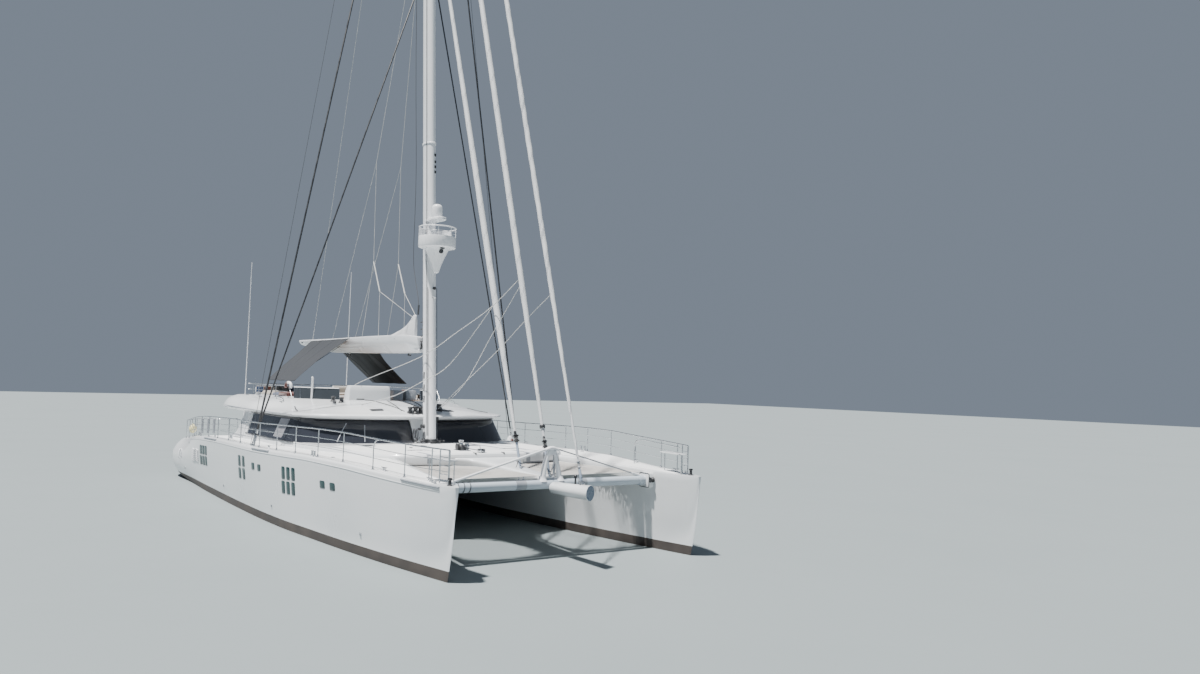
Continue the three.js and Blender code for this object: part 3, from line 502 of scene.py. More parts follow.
PANE = finish(
    "pane_glass", (0.006, 0.032, 0.034), (0.01, 0.042, 0.044), (0.1, 0.18), 0.8, 8, 0.03, 0.002,
    Specular_IOR_Level=0.4,
)
# Crossbeam: light grey paint darkened to blue-grey, painted shade and painted water reflection spread over
# the beam
BEAM_GREY_AND_SHADE = finish(
    "beam_grey_and_painted_shade", (0.46, 0.52, 0.58), (0.42, 0.475, 0.535), (0.25, 0.4), 0.6, 260, 0.04, 0.001,
    Coat_Weight=0.2,
)
# End face of the bow pod: white paint coloured dark blue, painted shade and painted water reflection
POD_FACE_SHADE = finish("pod_face_painted_shade", (0.1, 0.15, 0.22), (0.08, 0.125, 0.19), (0.2, 0.32), 1.2, 60, 0.04, 0.001)
SCREEN = finish(
    "tinted_screen", (0.03, 0.036, 0.042), (0.045, 0.052, 0.06), (0.05, 0.1), 0.6, 8, 0.02, 0.002,
    Coat_Weight=0.4,
)


# Camera at the photograph's place
def set_camera():
    yaw, pitch, roll = CAMERA_YAW, CAMERA_PITCH, CAMERA_ROLL
    ahead = Vector((cos(yaw) * cos(pitch), sin(yaw) * cos(pitch), sin(pitch)))
    level = Vector((sin(yaw), -cos(yaw), 0))
    above = level.cross(ahead)
    right = level * cos(roll) + above * sin(roll)
    up = above * cos(roll) - level * sin(roll)
    lens = bpy.data.cameras.new("photo_view")
    lens.sensor_width = 36
    lens.lens = CAMERA_LENS
    lens.clip_end = 400
    camera = placed("photo_view", lens)
    turn = Matrix((right, up, -ahead)).transposed().to_4x4()
    camera.matrix_world = Matrix.Translation(CAMERA_PLACE) @ turn
    bpy.context.scene.camera = camera


def set_floor_and_lights():
    shape = bmesh.new()
    bmesh.ops.create_grid(shape, x_segments=2, y_segments=2, size=FLOOR_SIZE)
    mesh = bpy.data.meshes.new("studio_floor")
    shape.to_mesh(mesh)
    shape.free()
    pale = finish("pale_floor", (0.22, 0.255, 0.265), (0.2, 0.235, 0.245), (0.6, 0.75), 0.2, 20, 0.03, 0.002)
    mesh.materials.append(pale)
    placed("studio_floor", mesh)
    world = bpy.data.worlds.new("studio")
    world.use_nodes = True
    sky = world.node_tree.nodes["Background"]
    sky.inputs["Color"].default_value = SKY
    sky.inputs["Strength"].default_value = SKY_STRENGTH
    bpy.context.scene.world = world
    key = bpy.data.lights.new("soft_key", "SUN")
    key.energy = SUN_ENERGY
    key.color = SUN_COLOUR
    key.angle = radians(SUN_SPREAD)
    placed("soft_key", key).matrix_world = aimed((0, 0, 0), SUN_TOWARD)


set_camera()
set_floor_and_lights()

# Hulls: x, keel, half width at the water, widest outboard and inboard, deck, share of the round stern
HULL_LINES = [
    (-17.5, 0.9, 0.24, 0.34, 0.3, 1.5, 1), (-17.4, 0.62, 0.5, 0.76, 0.64, 1.76, 1),
    (-17.0, 0.24, 0.8, 1.3, 1.08, 2.03, 1), (-16.2, -0.08, 1.1, 1.74, 1.44, 2.23, 1),
    (-15.0, -0.35, 1.3, 1.95, 1.62, 2.33, 1), (-13.0, -0.56, 1.48, 1.96, 1.64, 2.46, 0.75),
    (-10.5, -0.74, 1.6, 1.96, 1.65, 2.65, 0.3), (-7.0, -0.92, 1.68, 1.97, 1.65, 2.82, 0.05),
    (-2.5, -1.06, 1.69, 1.99, 1.65, 2.93, 0), (2.0, -1.1, 1.65, 1.93, 1.65, 2.96, 0),
    (5.5, -1.08, 1.52, 1.72, 1.56, 3.02, 0), (8.5, -1.03, 1.25, 1.45, 1.4, 3.07, 0),
    (11.2, -0.95, 0.98, 1.23, 1.12, 3.06, 0), (13.2, -0.86, 0.73, 0.93, 0.82, 2.985, 0),
    (15.2, -0.72, 0.44, 0.64, 0.56, 2.92, 0), (16.7, -0.52, 0.19, 0.43, 0.4, 2.89, 0),
    (17.5, -0.15, 0.05, 0.26, 0.26, 2.872, 0), (17.85, 1.2, 0.02, 0.13, 0.13, 2.866, 0),
    (18.0, 2.5, 0.02, 0.06, 0.06, 2.865, 0),
]
# Height from keel to deck, share of the waterline width, share of the flare, share of the barrel
HULL_SECTION = [
    (0, 0.1, 0, 0.15), (0.05, 0.42, 0, 0.44), (0.13, 0.8, 0, 0.68), (0.26, 1, 0, 0.86), (0.5, 1, 0.4, 0.99),
    (0.65, 1, 0.64, 1), (0.8, 1, 0.85, 0.92), (0.9, 1, 0.95, 0.81), (0.955, 1, 1, 0.72), (0.99, 0.98, 1, 0.6),
    (1, 0.93, 1, 0.5),
]
SHARES = rows_between(HULL_SECTION, 3)
GRIP_AFT, GRIP_FORE = -14.6, 17


def half_width(row, section, outboard):
    _, _, water, outer, inner, _, barrel = row
    _, width, flare, tub = section
    widest = outer if outboard else inner
    slim = water * width + (widest - water) * flare
    return slim + barrel * (widest * tub - slim)


def hull_ring(row, side):
    x, keel, deck = row[0], row[1], row[5]
    outer = [(x, side * (HULL_MIDDLE + half_width(row, s, True)), keel + (deck - keel) * s[0])
             for s in SHARES]
    inner = [(x, side * (HULL_MIDDLE - half_width(row, s, False)), keel + (deck - keel) * s[0])
             for s in SHARES]
    grip = [
        (x, side * (HULL_MIDDLE + 0.84 * half_width(row, SHARES[-1], True)), deck),
        (x, side * (HULL_MIDDLE - 0.84 * half_width(row, SHARES[-1], False)), deck),
    ]
    return outer + grip + inner[::-1]


def on_skin(x, z, side, out=0.0):
    """A point on the hull's outboard side at a length and a height."""
    row = row_at(HULL_LINES, x)
    share = min(max((z - row[1]) / (row[5] - row[1]), 0), 1)
    half = half_width(row, row_at(HULL_SECTION, share), True) + out
    return Vector((x, side * (HULL_MIDDLE + half), z))


def build_hull(side, name):
    hull = skin([hull_ring(row, side) for row in rows_between(HULL_LINES, 4)])
    whole = hull.verts[:] + hull.edges[:] + hull.faces[:]
    bmesh.ops.bisect_plane(hull, geom=whole, plane_co=(0, 0, BOOT_TOP), plane_no=(0, 0, 1))
    for face in hull.faces:
        middle = face.calc_center_median()
        row = row_at(HULL_LINES, middle.x)
        if middle.z < BOOT_TOP:
            face.material_index = 1
        elif face.normal.z > 0.9 and GRIP_AFT < middle.x < GRIP_FORE:
            if abs(abs(middle.y) - HULL_MIDDLE) < 0.6 * row[3]:
                face.material_index = 2
    piece(f"hull_skin_{name}", hull, [GEL, BOTTOM, DECK], slot="gel_white", nodes=[f"hull_{name}"], crease=50)


# Dark panes in the hull side: aft x, forward x, low z at the aft end, high z, rise per metre, columns, rows,
# gap between the columns
HULL_PANES = [
    (-8.12, -6.4, 1.33, 2.32, 0.03, 3, 2, 0.1), (0.06, 1.1, 1.43, 2.44, 0.03, 2, 2, 0.26),
    (5.88, 7.22, 1.41, 2.45, 0.03, 3, 2, 0.16), (2.18, 2.58, 2.01, 2.28, 0.05, 1, 1, 0),
    (3.0, 3.4, 2.02, 2.28, 0.05, 1, 1, 0), (9.56, 10.0, 2.0, 2.26, 0.03, 1, 1, 0),
    (10.44, 10.87, 2.01, 2.27, 0.03, 1, 1, 0),
]
ROW_GAP = 0.085
FRAME = 0.012
PANE_LEAN = -0.06


def pane(into, corners, side, finish, out, thick, corner):
    """A rounded pane lying on the hull's side."""
    shape = plate(corners, thick, 0.4 * thick, corner)
    for vert in shape.verts:
        vert.co = on_skin(vert.co.x, vert.co.y, side, out + vert.co.z)
    bmesh.ops.recalc_face_normals(shape, faces=shape.faces)
    stamp(into, shape, finish=finish)


def hull_windows(side, name):
    glazing = bmesh.new()
    for aft, fore, low, high, rise, columns, rows, gap in HULL_PANES:
        wide = (fore - aft - gap * (columns - 1)) / columns
        tall = (high - low - ROW_GAP * (rows - 1)) / rows
        for i in range(columns):
            for k in range(rows):
                x = aft + i * (wide + gap)
                z = low + k * (tall + ROW_GAP)
                lean = PANE_LEAN * tall
                corners = [(x, z + rise * (x - aft)), (x + wide, z + rise * (x + wide - aft)),
                           (x + wide + lean, z + tall + rise * (x + wide - aft)),
                           (x + lean, z + tall + rise * (x - aft))]
                grown = [
                    (u + (-FRAME if j in (0, 3) else FRAME), v + (-FRAME if j < 2 else FRAME))
                    for j, (u, v) in enumerate(corners)
                ]
                pane(glazing, grown, side, 1, 0.006, 0.02, 0.07)
                pane(glazing, corners, side, 0, 0.013, 0.02, 0.05)
    piece(f"hull_windows_{name}", glazing, [PANE, BLACK], slot="dark_glass")


# Grey strips under the deck edge: aft x, forward x
RUB_STRIPS = [(-7.1, -4.3), (2.2, 4.35), (15.3, 17.4)]
SHEER_DROP = 0.17
# Louvre on the quarter: aft end, lowest slat, length and step of the slats
LOUVRE_X, LOUVRE_Z, LOUVRE_LONG, LOUVRE_STEP = -10.1, 1.4, 1.55, 0.095


def hull_trim(side, name):
    trim = bmesh.new()
    for aft, fore in RUB_STRIPS:
        xs = [aft + (fore - aft) * i / 12 for i in range(13)]
        line = [on_skin(x, row_at(HULL_LINES, x)[5] - 0.06, side, 0.012) for x in xs]
        bar(trim, line, 0.035, 8, finish=1)
    xs = [-14.5 + 31.9 * i / 90 for i in range(91)]
    bar(trim, [on_skin(x, row_at(HULL_LINES, x)[5] - SHEER_DROP, side, 0.002) for x in xs], 0.014, 6)
    for x in (-12.2, -3.0, 4.6, 12.6):
        spot = on_skin(x, 0.75, side, -0.02)
        out = on_skin(x, 0.75, side, 0.6)
        lathe(trim, [(0, 0.03), (0.035, 0.03), (0.05, 0.045), (0.062, 0.04), (0.065, 0)], 16,
              aimed(spot, out), 2)
    for k in range(7):
        z = LOUVRE_Z + LOUVRE_STEP * k
        line = [(LOUVRE_X + LOUVRE_LONG * t, z + 0.05 * t + 0.028 * cos(3 * pi * t))
                for t in [j / 18 for j in range(19)]]
        bar(trim, [on_skin(x, z, side, 0.012) for x, z in line], 0.028, 8, finish=3)
        # A grey line under each slat: painted shade in the gap below it
        bar(trim, [on_skin(x, z - 0.038, side, 0.004) for x, z in line], 0.016, 6, finish=1)
    # A grey pane beside the stern handle: painted shadow of the handle's recess
    slot = [(-13.1, 1.24), (-12.85, 1.26), (-12.8, 1.6), (-13.02, 1.6)]
    pane(trim, slot, side, 1, 0.006, 0.02, 0.08)
    piece(f"hull_trim_{name}", trim, [GEL, GREY, STEEL, PAINT], slot="gel_white")


for side, name in SIDES:
    build_hull(side, name)
    hull_windows(side, name)
    hull_trim(side, name)


# Coachroof: port half of its outline, and its levels with their insets at sides, front and corners
ROOF_EDGE = [
    (4.65, 0), (4.57, 1.5), (4.3, 3.0), (3.72, 4.32), (2.62, 5.09), (0.8, 5.45), (-2.5, 5.6), (-6.0, 5.62),
    (-8.6, 5.54), (-9.75, 5.15), (-10.35, 4.3), (-10.56, 2.5), (-10.6, 0),
]
ROOF_LEVELS = [
    (0, 4.23, 0.42, 0.26, 0), (1, 4.3, 0.13, 0.06, 0), (2, 4.36, 0, 0, 0), (3, 4.42, 0.01, 0.03, 0),
    (4, 4.52, 0.1, 0.45, 0.8), (5, 4.74, 0.4, 1.5, 1.5), (6, 4.88, 0.85, 2.5, 1.7), (7, 4.98, 1.5, 3.4, 1.4),
]
SHOULDER_X, SHOULDER_Y = ROOF_EDGE[6]


def roof_ring(z, side, front, corner):
    """Ring of the coachroof at a level, drawn in at the sides and more towards the nose."""
    port = []
    for i, (x, y) in enumerate(ROOF_EDGE):
        if x > SHOULDER_X:
            ahead = x - SHOULDER_X
            inset = side + corner * min(ahead / 5, 1)
            shorter = 1 - front / (ROOF_EDGE[0][0] - SHOULDER_X)
            port.append((SHOULDER_X + ahead * shorter, y * (1 - inset / SHOULDER_Y), z))
            continue
        inset = side * (1 - 0.5 * min(max((-4 - x) / 4, 0), 1))
        before = ROOF_EDGE[i - 1]
        after = ROOF_EDGE[i + 1] if i + 1 < len(ROOF_EDGE) else (before[0], -before[1])
        run = Vector((after[0] - before[0], after[1] - before[1])).normalized()
        port.append((x - inset * run.y, y + inset * run.x if y > 0 else 0, z))
    starboard = [(x, -y, z) for x, y, z in port[-2:0:-1]]
    return curve_through(port + starboard, 5, closed=True)


def build_coachroof():
    levels = rows_between(ROOF_LEVELS, 3)
    roof = skin([roof_ring(*level[1:]) for level in levels])
    surface = BVHTree.FromBMesh(roof)
    piece("coachroof_skin", roof, [GEL], slot="gel_white", nodes=["coachroof"], crease=50)
    return surface


ROOF = build_coachroof()


def on_roof(x, y, up=0.0):
    """A point on the coachroof, or a little above it."""
    spot = ROOF.ray_cast(Vector((x, y, 9)), upward(-1))[0]
    return spot + upward(up)


# Dark glass band round the saloon: port half of its outline at the sill and at the eaves
SALOON_SILL = [
    (4.72, 0), (4.65, 1.5), (4.42, 3.0), (3.88, 4.25), (2.95, 5.02), (1.1, 5.35), (-1.5, 5.42), (-4.5, 5.44),
]
SALOON_EAVES = [
    (4.02, 0), (3.95, 1.5), (3.73, 2.95), (3.25, 4.05), (2.38, 4.74), (0.65, 5.06), (-1.7, 5.14),
    (-4.5, 5.16),
]
SILL, EAVES = 3.19, 4.23
GLASS_AFT = -3.95


def saloon_line(z, out):
    """The port half of the glass at a height, a little outside it."""
    t = (z - SILL) / (EAVES - SILL)
    corners = [Vector((a[0] + t * (b[0] - a[0]), a[1] + t * (b[1] - a[1]), z))
               for a, b in zip(SALOON_SILL, SALOON_EAVES)]
    line = curve_through(corners, 6)
    grown = []
    for i, point in enumerate(line):
        run = (line[min(i + 1, len(line) - 1)] - line[max(i - 1, 0)]).normalized()
        grown.append(point + Vector((-run.y, run.x, 0)).normalized() * -out)
    return grown


def glass_band(side, name):
    band = bmesh.new()
    rows = []
    for out in (0.012, -0.012):
        for z in (3.2, 3.45, 3.7, 3.95, 4.2):
            line = [p for p in saloon_line(z, out) if p.y > 0.3 and p.x > GLASS_AFT]
            rows.append([Vector((p.x, side * p.y, p.z)) for p in line])
    ring = rows[:5] + rows[5:][::-1]
    shape = skin([list(points) for points in zip(*ring)])
    stamp(band, shape)
    piece(f"glass_band_{name}", band, [GLASS], slot="dark_glass",
          nodes=[f"side_glass_{name}", f"windscreen_{name}"], crease=60)


for side, name in SIDES:
    glass_band(side, name)


def mast_at(z):
    return MAST_FOOT.x + MAST_RAKE * (z - MAST_FOOT.z)


# Mast: height, half length, half width
MAST_LEVELS = [(3.26, 0.42, 0.25), (34.0, 0.42, 0.25), (44.0, 0.33, 0.21), (50.6, 0.2, 0.15)]
BOOM_PIVOT = Vector((4.52, 0, 7.62))
DOME_X = 5.33
DOME = [(0, 0), (0.22, 0), (0.235, 0.03), (0.245, 0.1), (0.245, 0.42), (0.235, 0.5), (0.205, 0.56),
        (0.15, 0.6), (0.08, 0.625), (0, 0.635)]


def mast_ring(z, long, wide, sides=32):
    return [(mast_at(z) + u * long, v * wide, z) for u, v in circle(1, sides)]


def build_mast():
    mast = bmesh.new()
    levels = rows_between(MAST_LEVELS, 8)
    stamp(mast, skin([mast_ring(*level) for level in levels]))
    aft = [(mast_at(z) - long - 0.004, 0, z) for z, long, _ in levels if z > 4.2]
    bar(mast, aft, 0.05, 4, finish=1)
    for z, grow, high in (
        (3.26, 0.1, 0.1), (3.36, 0.06, 0.1), (16.9, 0.03, 0.08), (30.1, 0.03, 0.08), (41.5, 0.03, 0.08),
    ):
        _, long, wide = row_at(MAST_LEVELS, z)
        rings = [mast_ring(z + t * high, long + grow * u, wide + grow * u) for t, u in
                 ((0, 0), (0, 1), (0.8, 1), (1, 0.6), (1, 0))]
        stamp(mast, skin(rings, caps=False), finish=0 if z > 4 else 1)
    for z in (15.5, 15.74, 15.98, 16.3):
        _, long, wide = row_at(MAST_LEVELS, z)
        x = mast_at(z) + 0.86 * long
        box(mast, (x - 0.05, 0.25 * wide, z), (x + 0.06, 0.6 * wide, z + 0.13), 0.015, finish=1)
    x, z = BOOM_PIVOT.x, BOOM_PIVOT.z
    bar(mast, [(x, 0, z), (mast_at(z) - 0.3, 0, z)], 0.06, 14, finish=2)
    pin = [(0, -0.19), (0.06, -0.19), (0.075, -0.175), (0.075, 0.175), (0.06, 0.19), (0, 0.19)]
    lathe(mast, pin, 20, aimed((x, 0, z), (x + MAST_RAKE, 0, z + 1)), 2)
    shelf = [(4.5, -0.24), (5.6, -0.31), (5.86, -0.22), (5.93, 0), (5.86, 0.22), (5.6, 0.31), (4.5, 0.24)]
    stamp(mast, plate(shelf, 0.11, 0.03, 0.06), at(0, 0, 13.33))
    lathe(mast, DOME, 28, at(DOME_X, 0, 13.335))
    lathe(mast, [(0.228, 0.09), (0.232, 0.1), (0.228, 0.11)], 28, at(DOME_X, 0, 13.335), 1)
    for dz in (5.05, 5.55, 6.1):
        for s in (-1, 1):
            box(mast, (mast_at(dz) - 0.09, s * 0.246 - 0.014, dz),
                (mast_at(dz) + 0.03, s * 0.246 + 0.014, dz + 0.3), 0.01, finish=1)
    for z, s in ((4.0, -1), (4.35, 1)):
        stamp(mast, winch(0.1, 0.19), aimed((mast_at(z), s * 0.24, z), (mast_at(z) + 0.25, s * 1.2, z)), 1)
    for z, size in ((10.15, 0.07), (9.75, 0.06)):
        x = mast_at(z) + 0.42
        box(mast, (x - 0.05, -0.04, z - 0.03), (x + 0.1, 0.04, z + 0.03), 0.01, finish=1)
        lathe(mast, [(0, 0), (size, 0), (size, 0.06), (0.6 * size, 0.1), (0, 0.1)], 16,
              aimed((x + 0.1, 0, z + 0.03), (x + 0.6, 0, z - 0.5)), 1 if size > 0.065 else 0)
    for s in (-1, 1):
        bar(mast, [(mast_at(z) - 0.15 * s + 0.1, s * 0.262, z) for z in (3.6, 12, 24, 34)], 0.014, 6,
            finish=3)
        bar(mast, [(mast_at(z) + 0.3, s * (0.27 - 0.05), z) for z in (3.6, 10.2)], 0.014, 6, finish=3)
    dressed("mast", mast, [PAINT, BLACK, STEEL, DARK_ROPE], slot="gel_white", crease=45)


def winch(radius, high):
    """A drum winch standing on Z."""
    r, h = radius, high
    return turned(
        [(0, 0), (r, 0), (r, 0.12 * h), (0.82 * r, 0.2 * h), (0.66 * r, 0.34 * h), (0.64 * r, 0.6 * h),
        (0.74 * r, 0.74 * h), (0.86 * r, 0.78 * h), (0.88 * r, 0.9 * h), (0.7 * r, 0.97 * h), (0.3 * r, h),
        (0.12 * r, h), (0.12 * r, 0.93 * h), (0, 0.93 * h)], 24,
    )


build_mast()

# Lookout on the front of the mast: radius and height of the tub's outside, then its inside
NEST_X = 5.47
NEST_OUTSIDE = [
    (0.02, 10.82), (0.11, 10.85), (0.16, 11.0), (0.22, 11.2), (0.3, 11.4), (0.4, 11.62), (0.5, 11.85),
    (0.56, 11.93), (0.78, 11.95), (0.82, 11.97), (0.835, 12.02), (0.835, 12.4), (0.825, 12.44),
]
NEST_INSIDE = [(0.79, 12.44), (0.775, 12.41), (0.775, 12.1), (0.76, 12.07), (0.02, 12.07)]
NEST_RAIL = 12.86
NEST_RADIUS = 0.805


def build_nest():
    nest = bmesh.new()
    lathe(nest, NEST_OUTSIDE + NEST_INSIDE, 40, at(NEST_X, 0, 0))
    ring = [(NEST_X + u, v, NEST_RAIL) for u, v in circle(NEST_RADIUS + 0.01, 40)]
    bar(nest, ring, 0.028, 10, loop=True)
    for k in range(8):
        a = 2 * pi * (k + 0.5) / 8
        x, y = NEST_X + NEST_RADIUS * cos(a), NEST_RADIUS * sin(a)
        bar(nest, [(x, y, 12.38), (x, y, NEST_RAIL)], 0.018, 8)
    back = []
    for k in range(25):
        a = radians(105 + 150 * k / 24)
        back.append([(NEST_X + r * cos(a), r * sin(a), z) for r, z in
                     ((0.83, 12.4), (0.83, NEST_RAIL), (0.795, NEST_RAIL), (0.795, 12.4))])
    stamp(nest, skin(back))
    inner = [(NEST_X + u, v, 12.66) for u, v in circle(NEST_RADIUS, 40)]
    bar(nest, inner, 0.01, 6, finish=1, loop=True)
    for k in range(20):
        a = 2 * pi * k / 20
        x, y = NEST_X + 0.3 + 0.25 * cos(a), 0.25 * sin(a)
        lathe(nest, [(0, 0), (0.022, 0), (0.018, 0.008), (0, 0.01)], 8, at(x, y, 12.07), 2)
    x = NEST_X + 0.42
    box(nest, (x - 0.16, -0.11, 11.87), (x + 0.16, 0.11, 11.96), 0.02, finish=2)
    lathe(nest, [(0, -0.13), (0.07, -0.12), (0.11, -0.06), (0.11, 0.05), (0, 0.06)], 20, at(x, 0, 11.8), 2)
    lathe(nest, [(0, -0.02), (0.045, -0.02), (0.045, 0.02), (0, 0.03)], 16,
          aimed((x + 0.1, 0, 11.74), (x + 0.5, 0, 11.6)), 3)
    dressed("crows_nest", nest, [PAINT, STEEL, BLACK, GLASS], slot="gel_white", crease=45)


build_nest()

# Furled headsails: name, foot x and z, height of the head, radii low, middle and high, lumpiness
FORESTAYS = [
    ("inner", 13.49, 2.88, 30.1, (0.095, 0.125, 0.06), 0.02),
    ("middle", 15.5, 2.8, 42.2, (0.095, 0.115, 0.06), 0.02),
    ("outer", 17.52, 2.735, 50.0, (0.075, 0.095, 0.055), 0.09),
]
# Length of one wrap, share of the stay that the sail covers, and heights of the pins at the foot
WRAP = 1.35
COVERED = 0.93
PIN_PLACES = (0.08, 0.2)


def build_forestay(name, foot_x, foot_z, head_z, radii, lumps):
    foot = Vector((foot_x, 0, foot_z))
    head = Vector((mast_at(head_z) + 0.24, 0, head_z))
    long = (head - foot).length
    along = (head - foot) / long
    place = aimed(foot, head)
    stay = bmesh.new()
    loose = lumps > 0.05
    low, high = (0.95 if loose else 1.44), long * COVERED
    girth = [(low, radii[0]), (long * 0.3, radii[1]), (high, radii[2])]
    rings = []
    steps = int((high - low) / 0.11)
    for i in range(steps + 1):
        s = low + (high - low) * i / steps
        radius = row_at(girth, s)[1] * min(1, 0.55 + 3 * i / steps, 0.5 + 9 * (1 - i / steps))
        ring = []
        for k in range(20):
            a = 2 * pi * k / 20
            lap = (a / (2 * pi) - s / WRAP) % 1
            lump = lumps * (sin(3.1 * s + 2 * a) + sin(7.7 * s - a)) * 0.5
            r = radius * (0.965 + 0.035 * lap + lump)
            ring.append((r * cos(a), r * sin(a), s))
        rings.append(ring)
    cloth = skin(rings)
    # Faces along the outer edge of each wrap take the grey: painted shade in the crease between wraps; the
    # loose outer sail also takes grey patches
    for face in cloth.faces:
        middle = face.calc_center_median()
        lap = (atan2(middle.y, middle.x) / (2 * pi) - middle.z / WRAP) % 1
        if 0.95 < lap or (loose and 0.2 < lap < 0.4 and sin(0.9 * middle.z) > 0.3):
            face.material_index = 1
    stamp(stay, cloth, place, None)
    tack = 0.5 if loose else 1.0
    lathe(stay, [(0, 0), (0.034, 0), (0.034, 0.1), (0.05, 0.13), (0.05, tack), (0, tack)], 20, place, 5)
    wide = {"inner": 0.125, "middle": 0.105, "outer": 0.062}[name]
    drum = [(0, 0), (0.5, 0), (0.56, 0.03), (1, 0.05), (1, 0.07), (0.6, 0.09), (0.56, 0.22), (0.96, 0.24),
            (0.96, 0.27), (0.44, 0.3), (0.4, 0.42), (0, 0.43)]
    lathe(stay, [(wide * r, tack + h) for r, h in drum], 28, place, 6 if loose else 2)
    turns = [(0.64 * wide * cos(2.4 * k), 0.64 * wide * sin(2.4 * k), tack + 0.1 + 0.0026 * k)
             for k in range(44)]
    bar(stay, turns, 0.1 * wide, 6, place, 4)
    if name == "middle":
        lathe(stay, [(0.095, 1.74), (0.104, 1.75), (0.104, 1.84), (0.095, 1.85)], 20, place, 2)
    if not loose:
        for s in (-1, 1):
            arm = [(0.045, 0, 0.3), (0.06, s * 0.12, 0.16), (0.05, s * 0.26, 0.1)]
            bar(stay, curve_through(arm, 4), 0.014, 6, place, 2)
    lathe(stay, [(0, long * 0.925), (0.03, long * 0.925), (0.03, long * 0.985), (0, long * 0.99)], 12,
          place, 3)
    for s in PIN_PLACES:
        lathe(stay, drum_of(0.05, -0.03, 0.03), 14, lying(*(foot + along * s)), 3)
    piece(f"furled_sail_{name}", stay, [SAIL, WRAP_SHADE_AND_PATCHES, BLACK, STEEL, WHITE_ROPE, PALE_BLUE, GREY],
          slot="sailcloth", nodes=[f"forestay_{name}"], crease=60)


for stay in FORESTAYS:
    build_forestay(*stay)

CHAINPLATE_Y, CHAINPLATE_Z = 6.55, 2.9
# Shrouds: name, x at the foot, height on the mast, half spread there, radius
SHROUDS = [("cap_shroud", 1.85, 41.45, 0.14, 0.04), ("lower_shroud", 1.45, 25.4, 0.25, 0.034)]


def build_shroud(name, foot_x, height, spread, radius, side, hull):
    foot = Vector((foot_x, side * CHAINPLATE_Y, CHAINPLATE_Z))
    head = Vector((mast_at(height), side * spread, height))
    place = aimed(foot, head)
    long = (head - foot).length
    shroud = bmesh.new()
    lathe(shroud, [(0, 0.5), (radius, 0.5), (radius, long - 0.1), (0, long - 0.05)], 12, place)
    r = radius
    screw = [(0, 0.02), (0.5 * r, 0.02), (0.5 * r, 0.15), (1.1 * r, 0.17), (1.1 * r, 0.52), (0.8 * r, 0.6),
             (1.02 * r, 0.62), (1.02 * r, 0.8), (0, 0.82)]
    lathe(shroud, screw, 16, place, 1)
    lathe(shroud, [(r, 0.82), (1.12 * r, 0.84), (1.12 * r, 2.2), (r, 2.24)], 12, place, 2)
    box(shroud, foot - Vector((0.1, 0.03, 0)), foot + Vector((0.1, 0.03, 0.15)), 0.012, finish=1)
    dressed(f"{name}_{hull}", shroud, [BLACK, STEEL, RUBBER], slot="carbon")


for shroud in SHROUDS:
    for side, hull in SIDES:
        build_shroud(*shroud, side, hull)

# Boom: x, top, bottom, half width at the top and at the bottom, depth of the trough
BOOM_SECTIONS = [
    (-13.3, 8.24, 7.99, 0.3, 0.12, 0.0), (-12.9, 8.235, 7.95, 0.33, 0.13, 0.0),
    (-6.9, 8.135, 7.435, 0.66, 0.24, 0.0), (-6.5, 8.13, 7.43, 0.66, 0.24, 0.42),
    (-1.0, 8.11, 7.33, 0.68, 0.26, 0.5), (3.2, 8.065, 7.29, 0.63, 0.245, 0.42),
    (3.6, 8.06, 7.29, 0.62, 0.24, 0.0), (4.1, 8.01, 7.3, 0.46, 0.21, 0.0),
    (4.425, 7.96, 7.3, 0.3, 0.17, 0.0),
]


def boom_ring(x, top, low, wide, narrow, depth):
    tall = top - low
    half = [(wide, top), (wide * 0.995, top - 0.06), (wide * 0.95, low + tall * 0.72),
            (wide * 0.86, low + tall * 0.5), (wide * 0.66, low + tall * 0.27),
            (narrow * 1.2, low + tall * 0.08), (narrow * 0.6, low), (0, low)]
    outside = curve_through([(x, y, z) for y, z in half], 3)
    lip = max(wide - 0.09, 0.1)
    inside = [(x, -lip * t, top - depth * d) for t, d in ((1, 0.0), (0.97, 0.12), (0.9, 1), (0.4, 1))]
    port = [(p[0], -p[1], p[2]) for p in inside][::-1]
    starboard = [(p.x, -p.y, p.z) for p in outside[:-1]][::-1]
    return [tuple(p) for p in outside] + starboard + inside + port


def build_boom():
    boom = bmesh.new()
    rings = [boom_ring(*row) for row in rows_between(BOOM_SECTIONS, 5)]
    stamp(boom, skin(rings))
    for s in (-1, 1):
        rim = [(row[0], s * (row[3] - 0.035), row[1] + 0.012) for row in rows_between(BOOM_SECTIONS, 5)]
        bar(boom, rim, 0.022, 8)
        for x in (-12.6, -9.5, -4.0, 0.5, 2.5):
            row = row_at(BOOM_SECTIONS, x)
            box(boom, (x - 0.07, s * row[3] * 0.93 - 0.03, row[1] - 0.16),
                (x + 0.07, s * row[3] * 0.93 + 0.03, row[1] - 0.08), 0.012, finish=1)
    for x in (-11.2, -10.6, -5.2, 2.9):
        low = row_at(BOOM_SECTIONS, x)[2]
        box(boom, (x - 0.12, -0.03, low - 0.06), (x + 0.12, 0.03, low + 0.05), 0.015, finish=2)
        for s in (-1, 1):
            lathe(boom, [(0, -0.02), (0.06, -0.02), (0.045, 0), (0.06, 0.02), (0, 0.02)], 18,
                  lying(x, 0.045 * s, low - 0.09), 1)
    for x in (-11.2, -5.2):
        low = row_at(BOOM_SECTIONS, x)[2]
        bar(boom, [(x, -0.05, low - 0.1), (x + 0.02, 0, low - 0.16), (x, 0.05, low - 0.1)], 0.012, 6,
            finish=3)
    for s in (-1, 1):
        lug = [(4.36, s * 0.13, 7.42), (4.5, s * 0.13, 7.46), (4.5, s * 0.13, 7.78), (4.36, s * 0.13, 7.82)]
        bar(boom, lug, 0.035, 8, finish=1)
    dressed("boom", boom, [PAINT, BLACK, STEEL, WHITE_ROPE], body="boom", slot="gel_white", crease=50)


